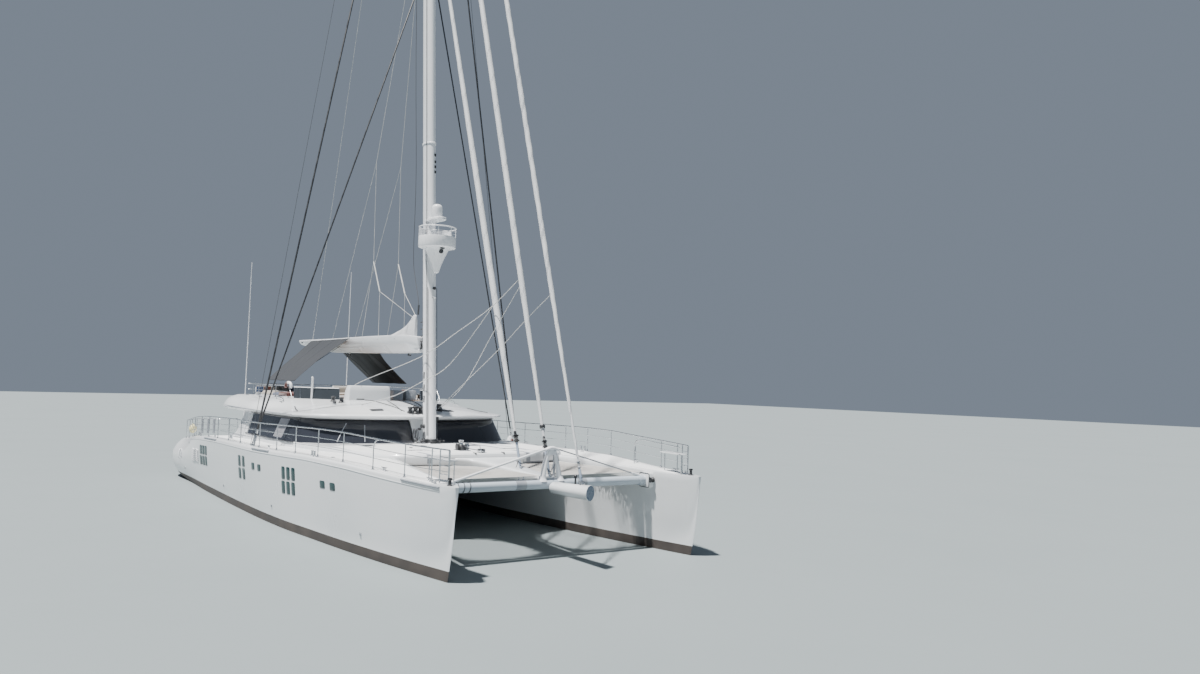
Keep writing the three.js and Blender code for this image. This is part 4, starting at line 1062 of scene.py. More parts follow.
# Flaked mainsail: x, height of its back, half width, height of its foot
SAIL_PILE = [
    (-6.15, 7.95, 0.1, 7.72), (-5.7, 8.08, 0.19, 7.66), (-3.0, 8.11, 0.21, 7.64), (0.6, 8.17, 0.215, 7.62),
    (1.6, 8.33, 0.2, 7.6), (2.6, 8.62, 0.17, 7.6), (3.1, 8.92, 0.14, 7.6), (3.35, 9.05, 0.11, 7.6),
    (3.52, 8.99, 0.07, 7.6),
]
FOLDS = 6


def sail_ring(x, top, half, low):
    ring = []
    for k in range(49):
        u = 1 - 2 * k / 48
        y = half * copysign(abs(u) ** 0.8, u)
        fall = 0.55 * (top - low) * abs(u) ** 2.6
        fold = 0.032 * abs(sin(FOLDS * pi * (u + 0.5) / 2 + 0.35 * sin(1.9 * x)))
        wave = 0.02 * sin(2.3 * x + 3 * u) * (1 - abs(u))
        ring.append((x, y, min(top - fall + fold + wave, top + 0.01)))
    sides = [(x, -half * (1.0 - 0.3 * t) + 0.012 * sin(14 * t + x), low + (ring[-1][2] - low) * (1 - t))
             for t in (0.2, 0.4, 0.6, 0.8, 1)]
    return ring + sides + [(px, -py, pz) for px, py, pz in sides[::-1]]


def build_mainsail():
    pile = bmesh.new()
    stamp(pile, skin([sail_ring(*row) for row in rows_between(SAIL_PILE, 10)]))
    for k in range(9):
        x = -5.6 + 1.05 * k
        _, top, half, low = row_at(SAIL_PILE, x)
        line = [(x + 0.05 * sin(a), half * 1.04 * cos(a), low + 0.3 + (top - low - 0.27) * sin(a))
                for a in [pi * j / 14 for j in range(15)]]
        bar(pile, line, 0.012, 6, finish=1)
    for k in range(7):
        z = 7.9 + 0.16 * k
        x = mast_at(z) - 0.47
        box(pile, (x - 0.16, -0.045, z - 0.06), (x + 0.02, 0.045, z + 0.06), 0.015, finish=2)
        bar(pile, [(x - 0.1, 0, z), (x - 0.32 - 0.04 * (k % 2), 0.03 * (-1) ** k, z - 0.03)], 0.03, 8,
            finish=2)
    sail = piece("mainsail_flaked", pile, [SAIL, WHITE_ROPE, BLACK], body="boom", slot="sailcloth",
                 nodes=["mainsail"], crease=60)


build_boom()
build_mainsail()

# Awning wings: y, z, x of the fore edge, x of the aft edge
AWNING = [
    (0.705, 8.085, -3.3, -9.65), (1.3, 7.45, -4.2, -9.75), (2.0, 6.8, -4.6, -9.75), (2.6, 6.24, -4.6, -9.65),
    (3.05, 5.82, -4.5, -9.55),
]
CLOTH = 0.006


def build_awning(side, hull):
    profile = rows_between(AWNING, 6)
    rows = []
    for y, z, fore, aft in profile:
        row = []
        for k in range(33):
            t = k / 32
            scallop = 0.03 * sin(pi * 3 * t) ** 2
            x = fore + (aft - fore) * t
            row.append((x, side * (y + 0.012 - 0.6 * scallop * min(1, 4 * (3.05 - y) / 2.3)), z
                        + 0.008 - 0.5 * scallop))
        rows.append(row)
    cloth = bmesh.new()
    stamp(cloth, sheet_of(rows, CLOTH))
    area = sum(face.calc_area() for face in cloth.faces) / 2 * REAL ** 2
    wing = piece(
        f"awning_{hull}_cloth", cloth, [SHADE], body="boom", slot="shade_cloth", nodes=[f"awning_{hull}"],
    )
    hems = bmesh.new()
    for k in (0, 11, 22, 32):
        line = [row[k] for row in rows]
        bar(hems, line, 0.015, 8, flat=0.6)
    for row in (rows[0], rows[-1]):
        bar(hems, row, 0.018, 8)
    for x in (-8.9, -5.1):
        foot, top = (x, side * 3.02, 5.83), (x + 0.25, side * 0.62, 7.75)
        bar(hems, [foot, ((foot[0] + top[0]) / 2, side * 1.95, 6.78), top], 0.012, 8)
    bars = piece(f"awning_{hull}_hems", hems, [SHADE], body="boom", slot="shade_cloth")


for side, hull in SIDES:
    build_awning(side, hull)

# Net panels ahead of the foredeck: x and y on the port side
NET_EDGE = [
    (10.34, 1.65), (11.08, 1.65), (11.54, 1.05), (12.53, 0.61), (14.0, 0.43), (15.4, 0.35), (15.4, 4.15),
    (13.2, 3.89), (11.2, 3.59), (10.34, 3.48),
]
NET_LEVEL = 2.806
NET_AFT, NET_FORE = 10.36, 15.38


def build_trampoline(side, hull):
    inner = [(x, side * y) for x, y in NET_EDGE[:6]]
    outer = [(x, side * y) for x, y in NET_EDGE[:5:-1]]
    rows = []
    for k in range(41):
        x = NET_AFT + (NET_FORE - NET_AFT) * k / 40
        a = row_at(inner, x)[1]
        b = row_at(outer, x)[1]
        rows.append([
            (x, a + (b - a) * j / 20, NET_LEVEL - 0.015 * sin(pi * j / 20) * sin(pi * k / 40))
            for j in range(21)
        ])
    cloth = bmesh.new()
    stamp(cloth, sheet_of(rows, CLOTH))
    area = sum(face.calc_area() for face in cloth.faces) / 2 * REAL ** 2
    net = piece(f"trampoline_{hull}_net", cloth, [NET], slot="net", nodes=[f"trampoline_{hull}"])
    edge = bmesh.new()
    rim = rows[0] + [row[-1] for row in rows[1:]] + rows[-1][-2::-1] + [row[0] for row in rows[-2:0:-1]]
    bar(edge, rim, 0.016, 6, loop=True)
    for row, end in [(row, j) for row in rows[1:-1] for j in (0, -1)]:
        x, y, z = row[end]
        away = -1 if (end == 0) == (side > 0) else 1
        bar(edge, [(x, y, z), (x + 0.03, y + away * 0.05, z + 0.006)], 0.007, 5)
    band = piece(f"trampoline_{hull}_bolt_rope", edge, [WHITE_ROPE], slot="net")


for side, hull in SIDES:
    build_trampoline(side, hull)

# Rails: x and y on the port side with the deck height there
RAIL_LINE = [
    (17.35, 4.77, 2.89), (15.2, 5.28, 2.935), (13.2, 5.56, 2.995), (11.1, 5.85, 3.07), (9.0, 6.07, 3.08),
    (6.9, 6.27, 3.05), (4.8, 6.4, 3.02), (2.7, 6.54, 2.98), (-0.3, 6.59, 2.95), (-2.5, 6.6, 2.93),
    (-4.7, 6.6, 2.88), (-6.9, 6.56, 2.82), (-9.1, 6.48, 2.72), (-11.3, 6.38, 2.58), (-13.2, 6.28, 2.38),
    (-14.7, 6.15, 2.26), (-15.3, 5.5, 2.3), (-15.3, 4.3, 2.3), (-14.6, 3.85, 2.33), (-13.2, 3.7, 2.42),
]


def build_rail(side, hull):
    metal = bmesh.new()
    line = [Vector((x, side * y, z)) for x, y, z in RAIL_LINE]
    top = curve_through([p + upward(RAIL_HEIGHT) for p in line], 4)
    bar(metal, top, 0.024, 10)
    for drop in (0.33, 0.66):
        bar(metal, [p - upward(drop) for p in top], 0.012, 6)
    for k, p in enumerate(line):
        post = [p - upward(0.05), p + upward(RAIL_HEIGHT)]
        if k == 2:
            bend = [(0, 0), (0, 0.4), (0, 0.7), (0.12, 0.93), (0.45, 1.02)]
            post = curve_through([p + Vector((x, 0.03 * side * -x, z)) for x, z in bend], 5)
        bar(metal, post, 0.02, 8)
        lathe(metal, [(0, 0), (0.055, 0), (0.055, 0.012), (0.034, 0.02), (0.03, 0.09), (0, 0.09)], 14,
              Matrix.Translation(p - upward(0.004)))
    for share in (0.0, 0.2, 0.38):
        p = line[0].lerp(line[1], share)
        bar(metal, [p, p + upward(RAIL_HEIGHT)], 0.022 if share else [0.026, 0.036], 8)
    a, b = line[0], line[0].lerp(line[1], 0.2)
    for z in (0.28, 0.54, 0.8):
        bar(metal, [a + upward(z), b + upward(z)], 0.014, 8)
    dressed(f"rail_{hull}", metal, [STEEL], slot="steel")


for side, hull in SIDES:
    build_rail(side, hull)

# Bow structure
BEAM_X, BEAM_Z = 15.6, 2.54
POD = (Vector((15.8, 0, 2.43)), Vector((18.15, 0, 2.49)))
POD_CUT = 17.9
LONGERON = [
    (10.302, 1.45, 1.6, 3.1), (11.05, 1.45, 1.6, 3.1), (11.5, 0.9, 1.0, 3.06), (12.5, 0.5, 0.56, 2.95),
    (14.0, 0.32, 0.38, 2.85), (15.53, 0.24, 0.3, 2.78),
]


def build_bow():
    beam = bmesh.new()
    bar(beam, [(BEAM_X, y, BEAM_Z) for y in (-4.55, -2, 0, 2, 4.55)], 0.165, 32)
    for y in (-3.95, 3.95):
        bar(beam, [(BEAM_X, y + d, BEAM_Z) for d in (-0.09, 0.09)], 0.19, 32)
    for s in (-1, 1):
        # Grey sleeves and plates round the beam: painted shadow bands, with small winches on the plates
        bar(beam, [(BEAM_X, s * y, BEAM_Z) for y in (1.05, 1.45)], 0.171, 32, finish=1)
        box(beam, (BEAM_X - 0.06, s * 1.2 - 0.14, BEAM_Z + 0.165),
            (BEAM_X + 0.06, s * 1.2 + 0.14, BEAM_Z + 0.19), 0.01, finish=1)
        for d in (-0.09, 0.09):
            stamp(beam, winch(0.035, 0.1), at(BEAM_X, s * 1.2 + d, BEAM_Z + 0.18), 2)
    dark = [(BEAM_X - 0.12, y, BEAM_Z + 0.145) for y in (-3.7, -2.5, -1.2, -0.45)]
    bar(beam, dark, 0.018, 6, finish=3)
    for k in range(3):
        y = -3.2 - 0.22 * k
        loop = [(BEAM_X + 0.178 * c, y + 0.02 * s, BEAM_Z + 0.178 * s) for c, s in circle(1, 24)]
        bar(beam, loop, 0.014, 6, finish=3, loop=True)
    # The beam's finish carries painted shade and painted water reflection
    dressed("crossbeam", beam, [BEAM_GREY_AND_SHADE, GREY, STEEL, DARK_ROPE], slot="gel_white")

    pod = bmesh.new()
    rows = [(0, 0, -0.02), (0, 0.12, -0.02), (0, 0.19, 0.0), (0, 0.205, 0.03), (0.5, 0.229, 0),
            (1, 0.252, -0.03), (1, 0.26, -0.012), (1, 0.252, 0.0)]
    long = (POD[1] - POD[0]).length
    body = [(r, t * long + push) for t, r, push in rows]
    lathe(pod, body + [(0, long)], 40, aimed(*POD))
    # The end disc in dark blue: painted shade and painted water reflection
    lathe(pod, [(0, long - 0.002), (0.252, long - 0.002), (0.249, long + 0.006), (0, long + 0.006)], 40,
          aimed(*POD), 1)
    for vert in pod.verts:
        if vert.co.x > POD_CUT:
            vert.co.x -= 0.12 + 0.5 * vert.co.y
    bar(pod, [(17.14, 0, 2.6), (17.14, 0, 2.96)], 0.035, 12, finish=2)
    lathe(pod, [(0, 0), (0.055, 0), (0.055, 0.05), (0.03, 0.08), (0, 0.08)], 16, at(17.14, 0, 2.93), 2)
    for s in (-1, 1):
        box(pod, (17.46, s * 0.05 - 0.015, 2.68), (17.6, s * 0.05 + 0.015, 2.83), 0.01, finish=3)
    dressed("bow_pod", pod, [GEL, POD_FACE_SHADE, BLACK, STEEL], slot="gel_white")

    spine = bmesh.new()
    rings = []
    for x, low, high, top in rows_between(LONGERON, 6):
        edge = 0.07
        ring = [(x, -low, 2.5), (x, low, 2.5), (x, low + (high - low) * 0.8, top - edge * 1.6),
                (x, high - 0.01, top - edge), (x, high - edge * 0.5, top - 0.015), (x, high - edge, top),
                (x, high * 0.3, top + 0.002), (x, -high * 0.3, top + 0.002), (x, -high + edge, top),
                (x, -high + edge * 0.5, top - 0.015), (x, -high + 0.01, top - edge),
                (x, -low - (high - low) * 0.8, top - edge * 1.6)]
        rings.append(ring)
    stamp(spine, skin(rings))
    piece("longeron_skin", spine, [GEL], slot="gel_white", nodes=["longeron"], crease=50)

    struts = bmesh.new()
    top = 3.74
    for s in (-1, 1):
        leg = [(BEAM_X, s * 0.36, BEAM_Z + 0.12), (BEAM_X, s * 0.25, 3.2), (BEAM_X, s * 0.13, top - 0.04)]
        taper = [0.12 - 0.06 * sin(0.5 * pi * k / 8) for k in range(9)]
        bar(struts, curve_through(leg, 4), taper, 16)
        lathe(struts, [(0.185, 0), (0.165, 0.05), (0.125, 0.1), (0.11, 0.18)], 20,
              at(BEAM_X, s * 0.36, BEAM_Z + 0.1))
        # The port tie is drawn thinner and in grey trim, its shaded look painted into its colour; the
        # starboard tie is white paint
        tie = [(BEAM_X, s * 0.2, top + 0.02), (BEAM_X, s * 4.05, 2.67)]
        bar(struts, tie, 0.042 if s < 0 else 0.024, 12, finish=0 if s < 0 else 2)
        bar(struts, [(BEAM_X, s * 3.55, 2.812), (BEAM_X, s * 4.05, 2.67)], 0.05, 12)
        bar(struts, [(BEAM_X - 0.35, s * 0.16, 2.78), (BEAM_X, s * 0.18, 3.5)], 0.022, 10, finish=1)
        # Bowed rear legs in grey trim: painted shade, for legs that stand in shade behind the front ones
        bow = [(15.56, s * 0.12, 3.66), (15.46, s * 0.2, 3.35), (15.4, s * 0.24, 3.0),
               (15.38, s * 0.26, 2.74)]
        bar(struts, curve_through(bow, 4), 0.045, 12, finish=2)
    cap = [(BEAM_X, y, top + 0.06 - 0.3 * abs(y)) for y in (-0.28, -0.16, -0.05, 0.05, 0.16, 0.28)]
    bar(struts, cap, [0.05, 0.065, 0.07, 0.07, 0.065, 0.05], 18)
    web = [(BEAM_X, -0.15, 3.55), (BEAM_X, 0.15, 3.55), (BEAM_X, 0.1, 3.72), (BEAM_X, -0.1, 3.72)]
    gusset = skin([[(x + d, y, z) for x, y, z in web] for d in (-0.03, 0.03)])
    stamp(struts, gusset)
    dressed("striker_frame", struts, [PAINT, STEEL, GREY], slot="gel_white")


build_bow()

# Boxes with rounded corners that change from level to level
def rounded(x0, x1, y0, y1, corner, steps=4):
    points = []
    for cx, cy, start in ((x1, y1, 0), (x0, y1, 90), (x0, y0, 180), (x1, y0, 270)):
        px, py = cx - copysign(corner, cx - x0 - 1e-6), cy - copysign(corner, cy - y0 - 1e-6)
        for k in range(steps + 1):
            a = radians(start + 90 * k / steps)
            points.append((px + corner * cos(a), py + corner * sin(a)))
    return points


def moulded(levels):
    """A moulded box from levels: height, x from and to, y from and to, corner."""
    return skin([[(x, y, z) for x, y in rounded(*level)] for z, *level in levels])


def tray(z, high, x0, x1, y0, y1, corner=0.08, edge=0.02):
    """A seat base or counter with an eased top edge."""
    return moulded([
        (z, x0, x1, y0, y1, corner), (high - edge, x0, x1, y0, y1, corner),
        (high - 0.3 * edge, x0 + 0.3 * edge, x1 - 0.3 * edge, y0 + 0.3 * edge, y1 - 0.3 * edge, corner),
        (high, x0 + edge, x1 - edge, y0 + edge, y1 - edge, corner),
    ])


# Cushions
PAD_CUTS = 13
SPREAD = [-1 + 2 * k / 12 for k in range(12)]


def pad(low, high, facing, crown=0.035, both=False):
    """A crowned cushion with piped seams, its sides drawn in between its corners."""
    low, high = Vector(low), Vector(high)
    order = {"z": (0, 1, 2), "x": (1, 2, 0), "y": (2, 0, 1)}[facing.strip("-")]
    half = [(high[k] - low[k]) / 2 for k in order]
    half[2] -= crown / 2
    edge = min(0.85 * half[2], 0.06)
    away = -1 if facing[0] == "-" else 1

    def spot_of(u, v, w):
        u, v, w = (sin(t * pi / 2) for t in (u, v, w))
        point = Vector((u * half[0], v * half[1], w * half[2]))
        inside = Vector([min(max(c, edge - h), h - edge) for c, h in zip(point, half)])
        if (point - inside).length > 1e-9:
            point = inside + (point - inside).normalized() * edge
        swell = (1 - u * u) * (1 - v * v)
        if w > 0 or both:
            point.z += copysign(crown * swell ** 0.7, w) * min(abs(w) * 1.4, 1)
        point.x -= 0.035 * half[1] * u * (1 - v * v)
        point.y -= 0.035 * half[1] * v * (1 - u * u)
        point.z = away * (point.z - crown / 2)
        spot = upward(0)
        for local, axis in enumerate(order):
            spot[axis] = point[local]
        return (low + high) / 2 + spot

    shape = bmesh.new()
    bmesh.ops.create_cube(shape, size=2)
    bmesh.ops.subdivide_edges(shape, edges=shape.edges[:], cuts=PAD_CUTS, use_grid_fill=True)
    for vert in shape.verts:
        vert.co = spot_of(*vert.co)
    bmesh.ops.recalc_face_normals(shape, faces=shape.faces)
    around = [(1, t) for t in SPREAD] + [(-t, 1) for t in SPREAD]
    around += [(-u, -v) for u, v in around]
    for level in (0.5, -0.5):
        seam = [spot_of(u, v, level) for u, v in around]
        middle = sum(seam, Vector()) / len(seam)
        bar(shape, [p + (p - middle).normalized() * 0.004 for p in seam], 0.009, 6, finish=1, loop=True)
    return shape


def pads(name, rows, cloth=SAND, gap=0.012):
    """One padded piece of cushions, each row with its count, corners, axis and the way that it faces."""
    whole = bmesh.new()
    for count, low, high, axis, facing in rows:
        step = (high[axis] - low[axis]) / count
        for k in range(count):
            a, b = Vector(low), Vector(high)
            a[axis] = low[axis] + k * step + gap / 2
            b[axis] = low[axis] + (k + 1) * step - gap / 2
            stamp(whole, pad(a, b, facing))
    soft = piece(name, whole, [cloth, PIPING], slot="cushion", crease=60)
    return soft


# Small deck gear
def cleat(into, place, finish):
    """A horn cleat on two feet, standing on Z with its horns along X."""
    horns = curve_through(
        [(-0.2, 0, 0.115), (-0.1, 0, 0.1), (0, 0, 0.095), (0.1, 0, 0.1), (0.2, 0, 0.115)], 4,
    )
    bar(into, horns, [0.01 + 0.016 * sin(pi * k / 16) for k in range(17)], 10, place, finish)
    for x in (-0.06, 0.06):
        foot = turned([(0, 0), (0.045, 0), (0.045, 0.01), (0.022, 0.03), (0.02, 0.095), (0, 0.095)], 14)
        stamp(into, foot, place @ at(x, 0, 0), finish)


def coil(into, centre, radius, turns, thick, finish, flat=0.5):
    """A rope coil hung on a pin, seen as long loops one beside another."""
    x, y, z = centre
    line = []
    for k in range(18 * turns + 1):
        a = 2 * pi * k / 18
        r = radius * (1 + 0.06 * sin(1.7 * a))
        line.append((x + flat * r * cos(a), y + 0.6 * thick * (k / 18 - turns / 2), z + r * sin(a)))
    bar(into, line, thick, 6, finish=finish)


def pulley(into, x, y, z, finish, size):
    """A pulley block with two cheeks and its sheave."""
    for s in (-1, 1):
        cheek = turned([(0, 0), (0.9 * size, 0), (size, 0.006), (0.9 * size, 0.014), (0, 0.016)], 18)
        stamp(into, cheek, lying(x, y + s * 0.024, z, -s), finish)
    sheave = turned([(0, -0.02), (0.75 * size, -0.02), (0.6 * size, 0), (0.75 * size, 0.02), (0, 0.02)], 18)
    stamp(into, sheave, lying(x, y, z), finish)


# Foredeck moulding: y and x of its fore edge, then of its aft edge
MOULDING_FORE = [
    (0, 11.18), (1.7, 11.13), (2.65, 10.9), (3.5, 10.55), (4.08, 9.9), (4.55, 8.0), (5.05, 5.0), (5.19, 3.6),
]
MOULDING_AFT = [(0, 5.08), (1.7, 4.98), (3.95, 4.25), (4.95, 3.27), (5.19, 3.5)]
# How far the lip is drawn in, and its height above the moulding's base
MOULDING_LIP = [(0, -0.25), (0, -0.06), (0.012, -0.02), (0.04, 0.015), (0.09, 0.04), (0.17, 0.05)]
MOULDING_BASE, MOULDING_HALF, CAMBER_HALF = 3.15, 5.19, 5.3
LOCKER = (8.78, 9.82, 1.64, 2.56)


def moulding_line(y):
    """The lip's points on both sides of the moulding at a distance from its middle line."""
    reach = min(abs(y), MOULDING_HALF)
    sides = []
    for rows, away in ((MOULDING_FORE, 1), (MOULDING_AFT, -1)):
        x = row_at(rows, reach)[1]
        outer = row_at(rows, min(reach + 0.02, MOULDING_HALF))[1]
        slope = (outer - row_at(rows, max(reach - 0.02, 0))[1]) / 0.04
        sides.append([(x - away * inset * hypot(1, slope), high) for inset, high in MOULDING_LIP])
    fore, aft = sides
    ring = [(x, y, MOULDING_BASE + high) for x, high in aft]
    middle = (fore[-1][0] + aft[-1][0]) / 2
    if fore[-1][0] <= aft[-1][0]:
        fore = [(max(x, middle), high) for x, high in fore]
        ring = [(min(x, middle), y, z) for x, y, z in ring]
    ring += [(ring[5][0] + (fore[-1][0] - ring[5][0]) * k / 9, y, 3.2) for k in range(1, 9)]
    ring += [(x, y, MOULDING_BASE + high) for x, high in reversed(fore)]
    camber = 1 - (y / CAMBER_HALF) ** 2
    return [(x, y, z + camber * (0.02 if z < 3.16 else 0.06) if z > 2.95 else z) for x, y, z in ring]


def build_foredeck():
    ys = [5.18 * sin(pi / 2 * k / 26) for k in range(-26, 27)]
    deck = skin([moulding_line(y) for y in ys])
    fore, aft = LOCKER[1], LOCKER[0]
    for place, across in [((x, 0, 0), (1, 0, 0)) for x in (aft, fore)] + [
            ((0, s * y, 0), (0, 1, 0)) for s in (-1, 1) for y in LOCKER[2:]]:
        bmesh.ops.bisect_plane(
            deck, geom=deck.verts[:] + deck.edges[:] + deck.faces[:], plane_co=place, plane_no=across)
    inside = [
        f for f in deck.faces
        if aft < f.calc_center_median().x < fore and LOCKER[2] < abs(f.calc_center_median().y) < LOCKER[3]
    ]
    bmesh.ops.delete(deck, geom=inside, context="FACES")
    rim = [e for e in deck.edges if e.is_boundary and e.verts[0].co.z > 3.1]
    walls = bmesh.ops.extrude_edge_only(deck, edges=rim)["geom"]
    for vert in [v for v in walls if isinstance(v, bmesh.types.BMVert)]:
        vert.co.z = 2.9
    bmesh.ops.remove_doubles(deck, verts=deck.verts, dist=1e-4)
    bmesh.ops.recalc_face_normals(deck, faces=deck.faces)
    for face in deck.faces:
        middle = face.calc_center_median()
        if face.normal.z > 0.97 and middle.z > 3.19 and abs(middle.y) < 4.4 and 5.9 < middle.x < 10.7:
            face.material_index = 1
    # A wall under the moulding's fore lip in grey trim: painted shadow under the lip
    painted_shadow_skirt = [[(row_at(MOULDING_FORE, abs(y))[1] - inset, y, z)
              for inset, z in ((0.05, 2.83), (0.05, 2.95), (0.09, 2.95), (0.09, 2.83))] for y in ys[6:-6]]
    stamp(deck, skin(painted_shadow_skirt), finish=2)
    piece("foredeck_skin", deck, [GEL, DECK, GREY], slot="gel_white", nodes=["foredeck_moulding"], crease=40)
    for side, hull in SIDES:
        lid = bmesh.new()
        outline = oblong(8.792, side * 1.652, 9.808, side * 2.548)
        stamp(lid, plate(outline, 0.045, 0.012, 0.05), at(0, 0, 3.225))
        stamp(lid, plate([(x * 0.9 + 0.93, y * 0.9 + side * 0.21) for x, y in outline], 0.004, 0.002, 0.05),
              at(0, 0, 3.228), 1)
        lathe(lid, [(0, -0.004), (0.05, -0.004), (0.055, 0), (0.05, 0.006), (0.035, 0.002), (0, 0.002)], 18,
              at(9.7, side * 2.1, 3.228), 2)
        for y in (1.9, 2.3):
            box(lid, (8.8, side * y - 0.045, 3.222), (8.9, side * y + 0.045, 3.232), 0.004, finish=2)
        dressed(f"locker_lid_{hull}", lid, [GEL, DECK, STEEL], body=f"locker_lid_{hull}", slot="gel_white")


def build_deck_gear():
    gear = bmesh.new()
    x, y, z = 9.5, -0.4, 3.235
    stamp(gear, tray(z, z + 0.05, x - 0.34, x + 0.34, y - 0.24, y + 0.24, 0.06), finish=1)
    stamp(
        gear,
        moulded([(z + 0.05, x - 0.2, x + 0.16, y - 0.14, y + 0.14, 0.05),
        (z + 0.2, x - 0.18, x + 0.1, y - 0.13, y + 0.13, 0.05),
        (z + 0.25, x - 0.12, x + 0.04, y - 0.08, y + 0.08, 0.04)]), finish=2,
    )
    for s in (-1, 1):
        gypsy = [(0, 0), (0.13, 0), (0.135, 0.02), (0.08, 0.05), (0.08, 0.07), (0.135, 0.1), (0.13, 0.12),
                 (0, 0.13)]
        lathe(gear, gypsy, 22, aimed((x, y + s * 0.14, z + 0.17), (x, y + s, z + 0.17)), 2 if s < 0 else 3)
    stamp(gear, winch(0.12, 0.24), at(x - 0.12, y, z + 0.2), 1)
    bar(gear, [(x + 0.1, y, z + 0.21), (x + 0.6, y + 0.06, z + 0.12), (10.72, -0.22, z + 0.1)], 0.018, 8,
        finish=4)
    stamp(gear, tray(z - 0.02, z + 0.03, 10.55, 10.98, -0.36, -0.02, 0.05), finish=1)
    for s in (-1, 1):
        box(gear, (10.6, -0.2 + s * 0.08 - 0.015, z), (10.92, -0.2 + s * 0.08 + 0.015, z + 0.17), 0.012,
            finish=3)
    bar(gear, [(10.76, -0.3, z + 0.13), (10.76, -0.06, z + 0.13)], 0.045, 14, finish=2)
    bar(gear, [(10.66, -0.2, z + 0.14), (10.62, -0.2, z + 0.3)], 0.014, 8, finish=2)
    for x, y, turn in (
        (16.45, -4.98, 4), (13.6, -5.32, 6), (3.3, -6.3, 0), (-6.0, -6.45, 0), (-13.4, -6.05, -12),
    ):
        for s in (-1, 1):
            high = row_at(HULL_LINES, x)[5]
            cleat(gear, at(x, -s * y, high, -s * turn), 3)
    for x, y in ((7.2, -1.2), (7.2, 1.2), (6.4, 3.2), (6.4, -3.2)):
        top = 3.2 + 0.06 * (1 - (y / CAMBER_HALF) ** 2)
        stamp(gear, plate(oblong(x - 0.3, y - 0.3, x + 0.3, y + 0.3), 0.03, 0.01, 0.08),
              at(0, 0, top + 0.022), 0)
        stamp(gear, plate(oblong(x - 0.24, y - 0.24, x + 0.24, y + 0.24), 0.01, 0.004,
                          0.06), at(0, 0, top + 0.028), 5)
    for x, y in ((7.85, -1.89), (11.02, 0.62), (11.02, -0.62)):
        box(gear, (x - 0.12, y - 0.03, 3.215), (x + 0.12, y + 0.03, 3.285), 0.015, finish=2)
    for s in (-1, 1):
        for x in (-11.4, -4.2, 8.6):
            high = row_at(HULL_LINES, x)[5]
            for d in (-0.09, 0.09):
                lathe(gear, [(0, 0), (0.07, 0), (0.07, 0.012), (0.045, 0.03), (0.042, 0.17), (0.06, 0.18),
                             (0.06, 0.2), (0, 0.21)], 18, at(x + d * 1.6, s * 6.1, high), 3)
            lathe(gear, [(0, 0), (0.09, 0), (0.09, 0.008), (0.06, 0.014), (0, 0.014)], 18,
                  at(x + 0.7, s * 5.6, high), 3)
    stamp(gear, moulded([(2.93, 1.15, 1.5, 6.32, 6.6, 0.05), (3.2, 1.2, 1.45, 6.36, 6.56, 0.05),
                         (3.27, 1.26, 1.39, 6.42, 6.5, 0.03)]), finish=0)
    box(gear, (1.48, 6.4, 2.95), (1.62, 6.5, 3.12), 0.02, finish=6)
    piece("deck_gear", gear, [GEL, STEEL, BLACK, STEEL, DARK_ROPE, GLASS, RED], slot="steel")

    foot = bmesh.new()
    base = Vector((5.47, 0, 3.26))
    lathe(foot, [(0.44, -0.03), (0.58, -0.03), (0.58, 0.0), (0.54, 0.03), (0.44, 0.05)], 32,
          Matrix.Translation(base))
    for k in range(9):
        a = radians(20 + 40 * k)
        x, y = base.x + 0.66 * cos(a), 0.6 * sin(a)
        pulley(foot, x, y, 3.36, 1, 0.06)
        bar(foot, [(x, y, 3.28), (base.x + 0.5 * cos(a), 0.44 * sin(a), 3.5)], 0.012, 6, finish=2)
    for x, y, z, size in (
        (5.0, -0.52, 3.66, 0.2), (5.16, -0.46, 3.62, 0.23), (5.1, 0.5, 3.62, 0.22), (5.78, -0.4, 3.6, 0.18),
    ):
        coil(foot, (x, y, z), size, 4, 0.016, 2)
    for y, z in ((-0.33, 3.86), (0.33, 3.84)):
        box(foot, (5.0, y - 0.05, z - 0.05), (5.22, y + 0.05, z + 0.05), 0.02, finish=1)
    piece("mast_foot_gear", foot, [STEEL, BLACK, DARK_ROPE], slot="steel")
    for side, hull in SIDES[::-1]:
        vent = bmesh.new()
        lathe(vent, [(0, 0), (0.13, 0), (0.14, 0.02), (0.12, 0.05), (0, 0.07)], 24,
              at(5.75, side * 1.008, 3.22))
        piece(f"mushroom_vent_{hull}", vent, [STEEL], slot="steel")


build_foredeck()
build_deck_gear()


# Wings under the aft end of the coachroof: x and z of the aft edge, and how far they lean in per metre
BUTTRESS = [
    (-4.4, 4.26), (-5.35, 4.26), (-5.4, 4.1), (-5.52, 3.8), (-5.66, 3.45), (-5.85, 3.15), (-6.2, 3.0),
    (-6.6, 2.94), (-7.2, 2.905),
]
BUTTRESS_LEAN = 0.27


def build_buttress(side, hull):
    edge = [(p.x, p.y) for p in curve_through([(x, z, 0) for x, z in BUTTRESS], 4)]
    outline = edge + [(-6.0, 2.905), (-4.4, 2.905)]
    wing = bmesh.new()
    rings = []

    def lean(y, z):
        return side * (y - BUTTRESS_LEAN * (z - SILL))

    for y, inset in ((5.24, 0.03), (5.255, 0.0), (5.455, 0.0), (5.47, 0.03)):
        rings.append([(x + inset * (x < -5), lean(y, z), z) for x, z in outline])
    stamp(wing, skin(rings))
    step = [(-4.4, 3.0), (-6.15, 3.0), (-6.9, 2.94)]
    bar(wing, [(x, lean(5.47, z), z) for x, z in step], 0.014, 8, finish=1)
    piece(f"buttress_{hull}_skin", wing, [GEL, GREY], slot="gel_white", nodes=[f"buttress_{hull}"], crease=50)


# Slanted bars and the pale bay on the saloon's glass
def on_glass(x, z, out):
    """A point on the port glass at a length and a height."""
    line = saloon_line(z, out)
    for one, other in zip(line, line[1:]):
        if other.x <= x <= one.x and one.x > other.x:
            return one.lerp(other, (one.x - x) / (one.x - other.x))
    return line[-1]


